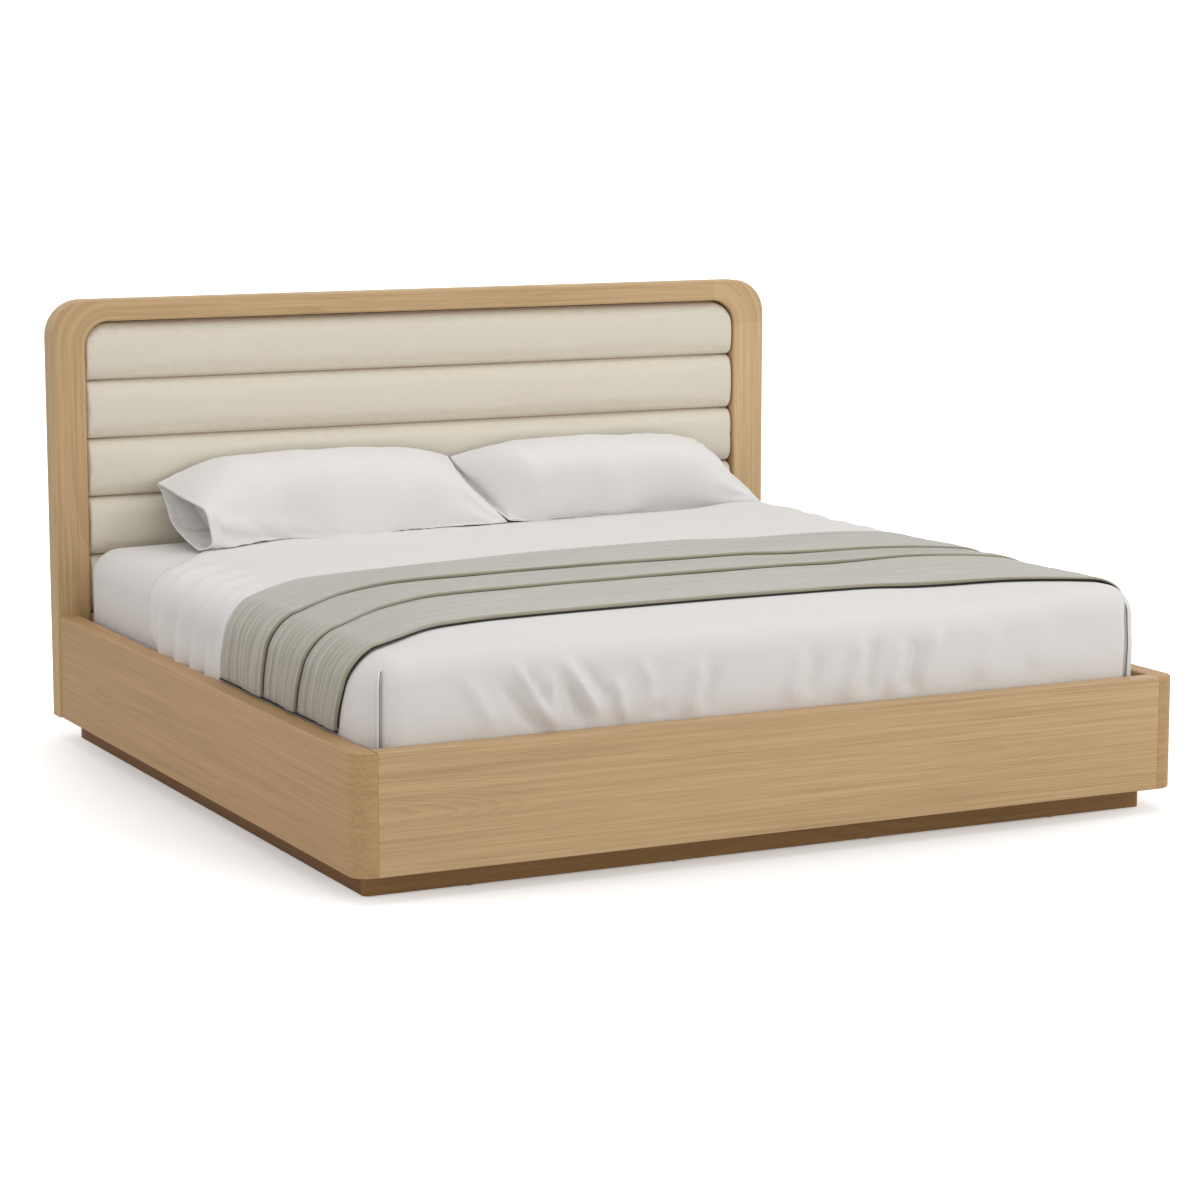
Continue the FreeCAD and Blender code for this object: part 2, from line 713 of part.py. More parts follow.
def slats():
    count = int(worth("slat_count"))
    for side in SIDES:
        half_set = []
        span = sided(side, "slat_centre_gap", "well_half - slat_side_gap")
        for number in range(count):
            low = f"slat_start + {number} * slat_pitch"
            half_set.append(board(f"slat_{side}_{number + 1}", span, (low, f"{low} + slat_width"),
                                  ("slat_bottom", "deck_top")))
        keep(group(f"slats_{side}", half_set), f"slats_{side}")
        straps = []
        for name, middle in (("inner", "strap_inset"), ("outer", "well_half - strap_inset")):
            across = sided(side, f"{middle} - strap_width / 2", f"{middle} + strap_width / 2")
            straps.append(board(f"strap_{name}_{side}", across, ("slat_start", "head_face - slat_end_gap"),
                                ("slat_bottom - strap_thickness", "slat_bottom")))
        keep(group(f"slat_straps_{side}", straps), f"slat_straps_{side}")


# Bedding: mattress, fitted sheet, coverlet and throw are nested shells.
def soft_block(name, x, y, z, corner, crown, base=None):
    """A block with round upright corners and a round top edge, and a round base edge if one is given."""
    blank = board(name + "_blank", x, y, z)
    upright = eased(name + "_upright", blank, (corner, lambda e: runs(e, "z")))
    top, bottom = worth(z[1]), worth(z[0])
    rules = [(crown, lambda e: lies(e, "z", top))]
    if base:
        rules.append((base, lambda e: lies(e, "z", bottom)))
    return eased(name, upright, *rules)


def coverlet_fold(name, sign, along):
    """One soft upright fold on the hanging side: wide at the rail, fading out under the mattress edge."""
    root = sign * worth("coverlet_half - coverlet_thickness / 2")
    faded = sign * worth("coverlet_half - coverlet_thickness / 4")
    swell = sign * worth("coverlet_half + coverlet_fold_depth")
    half = worth("coverlet_fold_width / 2")
    wires = []
    for height, spread, out in ((worth("throw_hem"), half, swell),
                                (worth("coverlet_top - coverlet_edge"), half / 3, faded)):
        start = Vector(root, along - spread, height)
        end = Vector(root, along + spread, height)
        swelling = Part.Arc(start, Vector(out, along, height), end).toShape()
        wires.append(Part.Wire([swelling, Part.LineSegment(end, start).toShape()]))
    fold = doc.addObject("Part::Feature", name)
    fold.Shape = Part.makeLoft(wires, True, True)
    return fold


def mattress_and_covers():
    mattress = soft_block("mattress", ("-mattress_half", "mattress_half"), ("mattress_foot", "mattress_head"),
                          ("mattress_bottom", "mattress_top"), "mattress_corner", "mattress_edge",
                          "mattress_base_edge")
    keep(mattress, "mattress")
    cover = soft_block("sheet_outside", ("-sheet_half", "sheet_half"),
                       ("mattress_foot - sheet_thickness", "mattress_head + sheet_thickness"),
                       ("mattress_bottom + sheet_hem + mattress_base_edge", "sheet_top"),
                       "mattress_corner + sheet_thickness", "mattress_edge + sheet_thickness")
    keep(joined("Cut", "fitted_sheet", cover, mattress), "fitted_sheet")
    outside = soft_block("coverlet_outside", ("-coverlet_half", "coverlet_half"),
                         ("coverlet_foot", "mattress_head + sheet_thickness + coverlet_thickness"),
                         ("coverlet_hem", "coverlet_top"),
                         "mattress_corner + sheet_thickness + coverlet_thickness", "coverlet_edge")
    shell = joined("Cut", "coverlet_shell", outside, cover)
    shoulder = "coverlet_head - coverlet_corner_rise"
    neck = "coverlet_half - coverlet_corner_run"
    beyond = "back_face"
    outline = [("-coverlet_half", shoulder), (f"-({neck})", "coverlet_head"), (neck, "coverlet_head"),
               ("coverlet_half", shoulder), ("coverlet_half", beyond), ("-coverlet_half", beyond)]
    head_trim = padded_body("coverlet_head_trim", "XY_Plane", outline, "headboard_height")
    trimmed = joined("Cut", "coverlet_trimmed", shell, head_trim)
    folds = []
    for side, sign in SIDES.items():
        for number in range(int(worth("coverlet_fold_count"))):
            along = worth(f"foot_face + throw_back + (0.6 + {number}) * coverlet_fold_pitch")
            folds.append(coverlet_fold(f"coverlet_fold_{side}_{number + 1}", sign, along))
    keep(fused("coverlet", [trimmed] + folds), "coverlet")


def throw():
    """A throw folded lengthwise into three overlapping layers, hanging down both sides."""
    inside = board("throw_inside_blank", ("-throw_half", "throw_half"),
                   ("foot_face + throw_hem_front", "foot_face + throw_back"), ("throw_hem", "throw_base"))
    level = worth("throw_base")
    hollow = eased("throw_inside", inside, ("throw_edge", lambda e: runs(e, "y") and lies(e, "z", level)))
    edges = [("throw_back", "throw_hem_back"), ("throw_first_fold", "throw_hem_first"),
             ("throw_second_fold", "throw_hem_second"), ("throw_front", "throw_hem_front")]
    layers = []
    for number in range(1, len(edges)):
        back, hem_back = edges[number - 1]
        front, hem_front = edges[number]
        build = f"{number} * throw_layer"
        half = f"throw_half + {build}"
        top = f"throw_base + {build}"
        blank = board(f"throw_blank_{number}", (f"-({half})", half),
                      (f"foot_face + {hem_front}", f"foot_face + {back}"), ("throw_hem", top))
        crest = worth(top)
        arch = eased(f"throw_arch_{number}", blank,
                     (f"throw_edge + {build}", lambda e: runs(e, "y") and lies(e, "z", crest)))
        shell = joined("Cut", f"throw_shell_{number}", arch, hollow)
        outline = [(f"foot_face + {hem_front}", "throw_hem"), (f"foot_face + {hem_back}", "throw_hem"),
                   (f"foot_face + {back}", "throw_bend"), (f"foot_face + {back}", top),
                   (f"foot_face + {front}", top), (f"foot_face + {front}", "throw_bend")]
        trim = padded_body(f"throw_trim_{number}", "YZ_Plane", outline, f"2 * ({half})")
        bind(trim, "Placement.Base.x", f"-({half})")
        layers.append(joined("Common", f"throw_layer_{number}", shell, trim))
    keep(fused("throw", layers), "throw")


# Pillows: each leans on the headboard; its case is a sewn bag with an open end.
def pillow_form(low_end, high_end, inset):
    """A lens with a round top and a flatter underside, lofted from its open end to its sewn end."""
    front = Vector(0, worth("head_face - pillow_reach"), worth("coverlet_top + rest_gap"))
    back = Vector(0, worth("head_face - pillow_lean_gap"), front.z + worth("pillow_rise"))
    chord = (back - front).normalize()
    up = Vector(1, 0, 0).cross(chord)
    crown, sag = worth("pillow_crown"), worth("pillow_sag")
    # share of the length, share of the fullness, share of the width
    stations = [(0.0, 0.6, 0.9), (0.12, 0.68, 0.97), (0.3, 0.93, 1.0), (0.5, 1.0, 1.0),
                (0.7, 0.93, 1.0), (0.88, 0.62, 0.97), (1.0, 0.3, 0.9)]
    wires = []
    for length, fullness, width in stations:
        half = (back - front).Length / 2 * width - 3 * inset
        centre = (front + back) / 2 + Vector(low_end + length * (high_end - low_end), 0, 0)
        near, far = centre - chord * half, centre + chord * half
        above = Part.Arc(near, centre + up * (crown * fullness - inset), far)
        below = Part.Arc(far, centre - up * (sag * fullness - inset), near)
        wires.append(Part.Wire([above.toShape(), below.toShape()]))
    return Part.makeLoft(wires, True, False)


def pillows():
    half = worth("pillow_length / 2")
    wall, ease = worth("case_thickness"), worth("case_ease")
    for side in SIDES:
        centre = f"pillow_{side}_centre"
        middle = worth(centre)
        mouth, sewn = middle - half - wall, middle + half - worth("case_seam")
        case = doc.addObject("Part::Feature", f"pillowcase_{side}")
        case.Shape = pillow_form(middle - half, middle + half, 0).cut(pillow_form(mouth, sewn, wall))
        keep(case, f"pillowcase_{side}")
        filling = doc.addObject("Part::Feature", f"pillow_{side}_uncut")
        filling.Shape = pillow_form(mouth, sewn, wall + ease)
        span = (f"{centre} - pillow_length / 2 + case_mouth",
                f"{centre} + pillow_length / 2 - case_seam - case_ease")
        zone = board(f"pillow_zone_{side}", span, ("foot_face", "back_face"),
                     ("rail_bottom", "headboard_height"))
        keep(joined("Common", f"pillow_{side}", filling, zone), f"pillow_{side}")


def check_and_write():
    """Stop if anything failed, then write each piece."""
    doc.recompute()
    for item in doc.Objects:
        if {"Invalid", "Error"} & set(item.State):
            raise RuntimeError(f"{item.Label} failed: {item.State}")
    os.makedirs("parts", exist_ok=True)
    for name, item in pieces.items():
        shape = item.Shape
        if shape.isNull() or not shape.isValid() or not shape.Solids:
            raise RuntimeError(f"{name} has no valid solid")
        print(f"{name}: {len(shape.Solids)} solids, {shape.Volume / 1000:.1f} cm3")
    for name, item in pieces.items():
        item.Shape.exportStep(f"parts/{name}.step")
    print(len(pieces), "nodes")


fill_sheet()
bolt_bores, rail_bores = bed_bolts()
headboard(bolt_bores)
channel_pads()
base_rails(rail_bores, ledgers(), corner_brackets())
battens()
plinth()
centre_beam()
centre_legs()
slats()
mattress_and_covers()
throw()
pillows()
check_and_write()
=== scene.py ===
# %% [markdown]
# # A low oak bed with a made-up mattress
#
# The frame of this bed comes from CAD: rails, a rounded headboard, a recessed plinth, slats and hardware.
# Here those solids get their wood, metal and board finishes, and everything soft is made afresh: the padded
# channels of the headboard, the mattress, its sheet, a white coverlet, a folded linen throw and two pillows
# in cotton cases. Lengths are metres throughout.

import json
import math

import bpy
import numpy as np
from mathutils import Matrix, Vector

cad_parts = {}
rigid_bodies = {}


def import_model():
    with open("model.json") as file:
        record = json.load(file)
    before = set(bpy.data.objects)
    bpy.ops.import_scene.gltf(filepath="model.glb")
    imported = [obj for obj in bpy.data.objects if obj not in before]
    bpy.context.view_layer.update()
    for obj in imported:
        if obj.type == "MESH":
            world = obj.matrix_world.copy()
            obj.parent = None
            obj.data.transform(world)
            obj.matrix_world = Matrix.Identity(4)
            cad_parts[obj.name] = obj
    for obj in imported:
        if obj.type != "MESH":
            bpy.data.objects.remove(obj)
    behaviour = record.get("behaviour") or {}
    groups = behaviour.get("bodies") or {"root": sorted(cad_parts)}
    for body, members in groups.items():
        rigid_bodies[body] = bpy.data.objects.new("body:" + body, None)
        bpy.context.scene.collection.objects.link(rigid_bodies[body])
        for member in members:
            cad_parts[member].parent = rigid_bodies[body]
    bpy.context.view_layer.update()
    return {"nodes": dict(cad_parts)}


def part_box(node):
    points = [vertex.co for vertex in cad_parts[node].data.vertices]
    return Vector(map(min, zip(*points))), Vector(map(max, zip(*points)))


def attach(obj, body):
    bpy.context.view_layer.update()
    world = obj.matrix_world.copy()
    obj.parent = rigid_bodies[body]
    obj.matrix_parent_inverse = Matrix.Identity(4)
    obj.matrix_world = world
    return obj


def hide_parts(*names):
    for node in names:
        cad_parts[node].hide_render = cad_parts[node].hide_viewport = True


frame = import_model()
nodes = frame["nodes"]

# %% [markdown]
# ## Small helpers for shader groups
#
# A shader node group is a little machine with named inputs and outputs. Wood grain and woven cloth are each
# made once as such a group, and every finish then feeds the group its own colours and sizes. The helpers
# below keep the wiring short: they start a group or a material, add a node and plug it in.


# %% Shader helpers
def new_group(name, inputs, outputs):
    """A shader group with named sockets: its tree, its input node and its output node."""
    tree = bpy.data.node_groups.new(name, "ShaderNodeTree")
    for label, kind, value in inputs:
        socket = tree.interface.new_socket(label, in_out="INPUT", socket_type="NodeSocket" + kind)
        if value is not None:
            socket.default_value = value
    for label, kind in outputs:
        tree.interface.new_socket(label, in_out="OUTPUT", socket_type="NodeSocket" + kind)
    return tree, tree.nodes.new("NodeGroupInput").outputs, tree.nodes.new("NodeGroupOutput").inputs


def new_finish(name):
    """A new material: itself, its node tree and its main shader."""
    material = bpy.data.materials.new(name)
    material.use_nodes = True
    return material, material.node_tree, material.node_tree.nodes["Principled BSDF"]


def plug(tree, node, plugs):
    """Sets a node's inputs, each to a number, a colour or another node's output."""
    for key, value in plugs.items():
        if isinstance(value, bpy.types.NodeSocket):
            tree.links.new(value, node.inputs[key])
        else:
            node.inputs[key].default_value = value


def add(tree, kind, plugs=None, **settings):
    """One new node of a tree, with its settings and with what goes into its inputs."""
    node = tree.nodes.new(kind)
    for key, value in settings.items():
        setattr(node, key, value)
    plug(tree, node, plugs or {})
    return node


def sums(tree, operation, first, second=0.0, third=0.0):
    """One step of arithmetic on plain numbers."""
    return add(tree, "ShaderNodeMath", {0: first, 1: second, 2: third}, operation=operation).outputs[0]


def vectors(tree, operation, first, second):
    """One step of arithmetic on places."""
    return add(tree, "ShaderNodeVectorMath", {0: first, 1: second}, operation=operation).outputs[0]


def stretched_noise(tree, place, scale, detail=2.0, rough=0.5):
    """Noise drawn out along the grain: scale is how many blobs to the metre in each direction."""
    spread = vectors(tree, "MULTIPLY", place, scale)
    plugs = {"Vector": spread, "Scale": 1.0, "Detail": detail, "Roughness": rough}
    return add(tree, "ShaderNodeTexNoise", plugs).outputs["Fac"]


print("shader helpers ready")

# %% [markdown]
# ## Wood as it grows
#
# A tree lays down a ring each year, pale in spring and dark in autumn. A board is a cut through those
# rings: near the heart the cut runs along them and shows tall arches and eyes, further out it shows plain
# lines. The group keeps that idea. It takes a place on the board (along, across, deep), wanders it a
# little, and measures how far it is from the heart of the tree; the rings follow from that distance. Fibres
# and pores are noise drawn out along the grain.


# %% The grain group
def grain_group():
    """Turns a place on a board into colour, roughness and height. Noise scales are blobs to the metre."""
    tree, given, made = new_group(
        "Wood grain",
        [("Board", "Vector", None), ("Heart", "Vector", (0.0, 0.02, 0.05)), ("Ring width", "Float", 0.011),
         ("Figure", "Float", 0.45), ("Pale", "Color", (0.62, 0.45, 0.26, 1)),
         ("Dark", "Color", (0.44, 0.28, 0.14, 1)), ("Seed", "Float", 0.0)],
        [("Color", "Color"), ("Roughness", "Float"), ("Height", "Float")])
    seed = add(tree, "ShaderNodeCombineXYZ", {0: sums(tree, "MULTIPLY", given["Seed"], 3.7)}).outputs[0]
    board = vectors(tree, "ADD", given["Board"], seed)
    sway_in = vectors(tree, "MULTIPLY", board, (1.15, 2.2, 2.2))
    sway = add(tree, "ShaderNodeTexNoise", {"Vector": sway_in, "Scale": 1.0, "Detail": 1.5})
    centred = vectors(tree, "SUBTRACT", sway.outputs["Color"], (0.5, 0.5, 0.5))
    moved = vectors(tree, "ADD", board, vectors(tree, "MULTIPLY", centred, (0.0, 0.10, 0.16)))
    from_heart = vectors(tree, "SUBTRACT", moved, given["Heart"])
    flat = vectors(tree, "MULTIPLY", from_heart, (0.0, 1.0, 1.0))
    radius = add(tree, "ShaderNodeVectorMath", {0: flat}, operation="LENGTH").outputs["Value"]
    ragged = stretched_noise(tree, board, (4.0, 70.0, 70.0), 3.0)
    turns = sums(tree, "ADD", sums(tree, "DIVIDE", radius, given["Ring width"]),
                 sums(tree, "MULTIPLY", ragged, 0.7))
    late_wood = sums(tree, "POWER", sums(tree, "FRACT", turns), 2.2)
    shown = add(tree, "ShaderNodeMapRange", {"Value": stretched_noise(tree, board, (1.6, 7.0, 7.0), 1.0),
                                             "From Min": 0.48, "From Max": 0.66, "To Min": 0.25}).outputs[0]
    fibre = stretched_noise(tree, board, (3.0, 270.0, 270.0), 3.0, 0.6)
    streak = stretched_noise(tree, board, (1.2, 75.0, 75.0), 4.0, 0.62)
    pores = add(tree, "ShaderNodeMapRange", {"Value": stretched_noise(tree, board, (24.0, 800.0, 800.0)),
                                             "From Min": 0.60, "From Max": 0.72}).outputs[0]
    tone = stretched_noise(tree, board, (0.7, 9.0, 9.0), 2.0)
    dark = sums(tree, "MULTIPLY", sums(tree, "MULTIPLY", late_wood, shown), given["Figure"])
    for part, weight, offset in ((fibre, 1.35, -0.60), (streak, 1.2, -0.48), (tone, 0.6, -0.24),
                                 (pores, 0.22, 0.0)):
        dark = sums(tree, "ADD", dark, sums(tree, "MULTIPLY_ADD", part, weight, offset))
    colour = add(tree, "ShaderNodeMix", {0: dark, 6: given["Pale"], 7: given["Dark"]},
                 data_type="RGBA", clamp_factor=True)
    tree.links.new(colour.outputs[2], made["Color"])
    tree.links.new(sums(tree, "MULTIPLY_ADD", fibre, 0.16, 0.42), made["Roughness"])
    tree.links.new(sums(tree, "SUBTRACT", fibre, sums(tree, "MULTIPLY", pores, 0.6)), made["Height"])
    return tree


grain = grain_group()
print("wood grain group:", len(grain.nodes), "nodes")

# %% [markdown]
# ## Which way each board runs
#
# Grain has to follow the piece. The foot rail runs left to right. A side rail runs front to back and its
# end turns the corner of the foot. The headboard frame is one bent strip: up one side, round the corner,
# along the top and down again. Each of these is a small function that adds the nodes which turn a point of
# the bed into (along, across, deep).


# %% Board directions
def place_of(tree):
    """The x, y and z of the point being shaded, in the bed's own space."""
    inside = add(tree, "ShaderNodeTexCoord").outputs["Object"]
    return add(tree, "ShaderNodeSeparateXYZ", {0: inside}).outputs


def straight_board(tree, along, across, deep):
    """A plain board: which of x, y and z is its length, its face and its thickness."""
    xyz = place_of(tree)
    picked = {k: xyz["XYZ".index(axis)] for k, axis in enumerate((along, across, deep))}
    return add(tree, "ShaderNodeCombineXYZ", picked).outputs[0]


def rail_board(tree, half_width=1.075, foot=-1.065):
    """A side rail whose grain turns the rounded corner at the foot."""
    x, y, z = place_of(tree)
    wide = sums(tree, "ABSOLUTE", x)
    along = sums(tree, "ADD", y, sums(tree, "SUBTRACT", wide, half_width))
    deep = sums(tree, "MINIMUM", sums(tree, "SUBTRACT", half_width, wide), sums(tree, "SUBTRACT", y, foot))
    return add(tree, "ShaderNodeCombineXYZ", {0: along, 1: z, 2: deep}).outputs[0]


def bent_frame_board(tree, turn_x=0.917, turn_z=1.054, turn_radius=0.083):
    """The headboard frame: one strip from the floor, round both corners and down again."""
    x, y, z = place_of(tree)
    beyond = sums(tree, "SUBTRACT", sums(tree, "ABSOLUTE", x), turn_x)
    right = sums(tree, "MAXIMUM", beyond, 0.0)
    high = sums(tree, "MAXIMUM", sums(tree, "SUBTRACT", z, turn_z), 0.0)
    angle = sums(tree, "ARCTAN2", high, right)
    along = sums(tree, "ADD", sums(tree, "MINIMUM", z, turn_z), sums(tree, "MULTIPLY", angle, turn_radius))
    inward = sums(tree, "MAXIMUM", sums(tree, "MULTIPLY", beyond, -1.0), 0.0)
    full = turn_z + turn_x + turn_radius * math.pi / 2
    run = sums(tree, "MULTIPLY", sums(tree, "SUBTRACT", sums(tree, "ADD", along, inward), full),
               sums(tree, "SIGN", x))
    across = sums(tree, "POWER", sums(tree, "ADD", sums(tree, "MULTIPLY", right, right),
                                      sums(tree, "MULTIPLY", high, high)), 0.5)
    return add(tree, "ShaderNodeCombineXYZ", {0: run, 1: across, 2: y}).outputs[0]


def wood(name, direction, pale, dark, heart, ring=0.011, figure=0.45, seed=0.0):
    """A wood finish: the grain group fed with one board's direction, colours and place in the tree."""
    material, tree, shader = new_finish(name)
    cut = add(tree, "ShaderNodeGroup", node_tree=grain)
    plug(tree, cut, {"Board": direction(tree), "Heart": heart, "Ring width": ring, "Figure": figure,
                     "Pale": pale + (1,), "Dark": dark + (1,), "Seed": seed})
    relief = add(tree, "ShaderNodeBump", {"Strength": 0.12, "Distance": 0.0006,
                                          "Height": cut.outputs["Height"]})
    plug(tree, shader, {"Base Color": cut.outputs["Color"], "Roughness": cut.outputs["Roughness"],
                        "Normal": relief.outputs[0], "Specular IOR Level": 0.35})
    return material


print("board directions: straight, round the foot corner, round the headboard")

# %% [markdown]
# ## The timbers
#
# The show wood is pale oak under a matt oil. The side rails and the sides of the plinth use darker copies of
# their wood, which is painted shade for the faces turned away from the lamps. The plinth is stained brown and
# stands back in shadow. Under the mattress the ledgers, battens and centre beam are plain softwood, the slats
# are pale laminated wood, and the boards behind the pads are a dull pressed board.

# %% Wood finishes
oak_pale, oak_dark = (0.63, 0.437, 0.232), (0.405, 0.25, 0.114)
# The side rails' colours are the oak drawn darker: painted shade for the sides that face away from the lamps.
side_pale_painted_shade, side_dark_painted_shade = (0.560, 0.350, 0.165), (0.375, 0.217, 0.094)


def boards(along, across, deep):
    """The direction of a plain board, ready to hand to wood()."""
    return lambda tree: straight_board(tree, along, across, deep)


oak_foot = wood("oak_foot_rail", boards("X", "Z", "Y"), oak_pale, oak_dark, (0, 0.205, -1.03),
                0.0055, 0.34, 0.35)
oak_left = wood("oak_left_rail", rail_board, side_pale_painted_shade, side_dark_painted_shade, (0, 0.19, 0.035), 0.006, 0.18, 1.6)
oak_right = wood("oak_right_rail", rail_board, side_pale_painted_shade, side_dark_painted_shade, (0, 0.21, 0.05), 0.006, 0.18, 2.9)
frame_heart, frame_seed = (0, 0.07, 1.10), 4.2
oak_board = wood("oak_headboard", bent_frame_board, oak_pale, oak_dark, frame_heart, seed=frame_seed)
# The right stile and the right corner get lighter copies of the frame oak: partly a paler board, partly
# painted light for the brighter light on the right-hand side.
oak_board_right_painted_light = wood("oak_headboard_right_painted_light", bent_frame_board, (0.73, 0.525, 0.285), (0.48, 0.31, 0.145),
                       frame_heart, seed=frame_seed)
oak_corner_right_painted_light = wood("oak_headboard_corner_painted_light", bent_frame_board, (0.685, 0.483, 0.259), (0.443, 0.28, 0.13),
                        frame_heart, seed=frame_seed)
stained = wood("stained_plinth_x", boards("X", "Z", "Y"), (0.325, 0.183, 0.064), (0.216, 0.114, 0.036),
               (0, 0.1, -0.8), seed=5.1)
# The plinth's sides are the same stain drawn darker: painted shade for the sides turned from the lamps.
stained_side_painted_shade = wood("stained_plinth_y_painted_shade", boards("Y", "Z", "X"), (0.226, 0.104, 0.030), (0.145, 0.064, 0.015),
                    (0, 0.1, 0.8), seed=6.3)
soft_pale, soft_dark = (0.66, 0.50, 0.31), (0.50, 0.33, 0.18)
softwood_y, softwood_x, softwood_z = (
    wood(name, boards(*axes), soft_pale, soft_dark, (0, 0.1, 0.5), 0.006, 0.5, seed)
    for name, axes, seed in (("softwood_long", "YZX", 7.4), ("softwood_cross", "XZY", 8.2),
                             ("softwood_legs", "ZXY", 8.8)))
laminate = wood("laminated_slats", boards("X", "Y", "Z"), (0.74, 0.60, 0.42), (0.60, 0.44, 0.27),
                (0, 0.2, 0.6), 0.014, 0.3, 9.5)
pressed = wood("pressed_board", boards("X", "Z", "Y"), (0.42, 0.33, 0.23), (0.34, 0.25, 0.17),
               (0, 5.0, 5.0), 0.4, 0.1, 10.1)
print("timbers:", len([m for m in bpy.data.materials if m.name.startswith(("oak", "stained", "soft"))]))

# %% [markdown]
# ## Steel, plastic and felt
#
# Brackets and bolts are bright zinc-plated steel with a faint brushed streak; the caps over the bolt heads
# are matt brown plastic; felt under the plinth is a rough pale mat. These are simple finishes, so each is
# one small material with a single noise to break up the surface.


# %% Hardware finishes
def plain(name, colour, rough, metal=0.0, speckle=0.1, scale=(300.0, 300.0, 300.0), bump=0.0):
    """A single-colour finish with a little unevenness in tone and roughness."""
    material, tree, shader = new_finish(name)
    place = add(tree, "ShaderNodeTexCoord").outputs["Object"]
    uneven = stretched_noise(tree, place, scale, 2.0)
    darker = tuple(c * (1 - speckle) for c in colour) + (1,)
    lighter = tuple(min(1, c * (1 + speckle)) for c in colour) + (1,)
    tint = add(tree, "ShaderNodeMix", {0: uneven, 6: darker, 7: lighter}, data_type="RGBA")
    plug(tree, shader, {"Base Color": tint.outputs[2], "Metallic": metal,
                        "Roughness": sums(tree, "MULTIPLY_ADD", uneven, 0.2, rough - 0.1)})
    if bump:
        relief = add(tree, "ShaderNodeBump", {"Strength": bump, "Distance": 0.001, "Height": uneven})
        plug(tree, shader, {"Normal": relief.outputs[0]})
    return material


steel = plain("zinc_steel", (0.62, 0.63, 0.65), 0.34, 1.0, 0.12, (40.0, 900.0, 900.0))
cap_plastic = plain("brown_plastic", (0.33, 0.22, 0.13), 0.5)
felt = plain("pale_felt", (0.80, 0.78, 0.75), 0.95, 0.0, 0.35, (900.0, 900.0, 900.0), 0.6)
print("hardware finishes:", steel.name, cap_plastic.name, felt.name)

# %% [markdown]
# ## Dressing the solids
#
# A solid from CAD arrives in plain grey. On the real bed each piece is cut from one stuff, so a table of
# finishes and names is enough, and a helper puts that one material in every slot of the solid. A table is
# easier to read and to change than a line of code for each piece.

# %% Finish every CAD piece
finishes = {
    oak_foot: ["foot_rail"], oak_left: ["side_rail_left"], oak_right: ["side_rail_right"],
    oak_board: ["headboard_stile_left", "headboard_corner_left", "headboard_top_rail"],
    oak_corner_right_painted_light: ["headboard_corner_right"], oak_board_right_painted_light: ["headboard_stile_right"],
    stained: ["plinth_front", "plinth_back", "plinth_corner_blocks"],
    stained_side_painted_shade: ["plinth_left", "plinth_right"],
    softwood_y: ["ledger_left", "ledger_right", "side_batten_left", "side_batten_right", "centre_beam"],
    softwood_x: ["foot_batten", "head_batten", "headboard_lower_rail", "frame_dowels"],
    softwood_z: ["centre_legs"],
    laminate: ["slats_left", "slats_right"],
    pressed: ["headboard_back_panel", "headboard_pad_board"],
    steel: ["back_panel_screws", "headboard_bolts", "barrel_nuts", "ledger_screws", "bracket_screws",
            "foot_bracket_left", "foot_bracket_right", "beam_hanger_foot", "beam_hanger_head",
            "levelling_foot_foot", "levelling_foot_middle", "levelling_foot_head"],
    cap_plastic: ["bolt_caps"],
    felt: ["felt_glides"],
}


def finish_solid(solid, material):
    """Puts one material in every slot of a solid that came from CAD."""
    if not solid.material_slots:
        solid.data.materials.append(material)
    for held in solid.material_slots:
        held.material = material


for material, names in finishes.items():
    for name in names:
        finish_solid(nodes[name], material)
print("finished solids:", sum(len(names) for names in finishes.values()))

# %% [markdown]
# ## Cloth as a finish
#
# Woven cloth is threads crossing over and under. Close up it is a tiny checker of bumps; from across a room
# what shows is the uneven thickness of the threads, a faint streak one way and the other. The group draws
# both from the flat cloth, so the weave follows the piece and never stretches.


# %% The weave group
def weave_group():
    """Turns a place on the flat cloth, in metres, into colour and height."""
    tree, given, made = new_group(
        "Woven cloth",
        [("Cloth", "Vector", None), ("Thread", "Float", 0.002), ("Slub", "Float", 0.1),
         ("Slub length", "Float", 0.06), ("Slub width", "Float", 0.004), ("Crosswise", "Float", 1.0),
         ("Color", "Color", (0.8, 0.8, 0.8, 1))],
        [("Color", "Color"), ("Height", "Float")])
    across, along, _ = add(tree, "ShaderNodeSeparateXYZ", {0: given["Cloth"]}).outputs
    turn = sums(tree, "DIVIDE", math.pi, given["Thread"])
    over = sums(tree, "MULTIPLY", sums(tree, "SINE", sums(tree, "MULTIPLY", across, turn)),
                sums(tree, "SINE", sums(tree, "MULTIPLY", along, turn)))
    streaks = []
    for one, two in ((across, along), (along, across)):
        place = add(tree, "ShaderNodeCombineXYZ", {
            0: sums(tree, "DIVIDE", one, given["Slub length"]),
            1: sums(tree, "DIVIDE", two, given["Slub width"])}).outputs[0]
        noise = add(tree, "ShaderNodeTexNoise", {"Vector": place, "Scale": 1.0, "Detail": 2.5})
        streaks.append(noise.outputs["Fac"])
    thick = sums(tree, "MULTIPLY_ADD", sums(tree, "SUBTRACT", streaks[1], 0.5), given["Crosswise"],
                 sums(tree, "SUBTRACT", streaks[0], 0.5))
    tone = sums(tree, "MULTIPLY_ADD", thick, given["Slub"], 1.0)
    bright = add(tree, "ShaderNodeVectorMath", {0: given["Color"], "Scale": tone}, operation="SCALE")
    tree.links.new(bright.outputs[0], made["Color"])
    tree.links.new(sums(tree, "MULTIPLY_ADD", over, 0.35, thick), made["Height"])
    return tree


weave = weave_group()


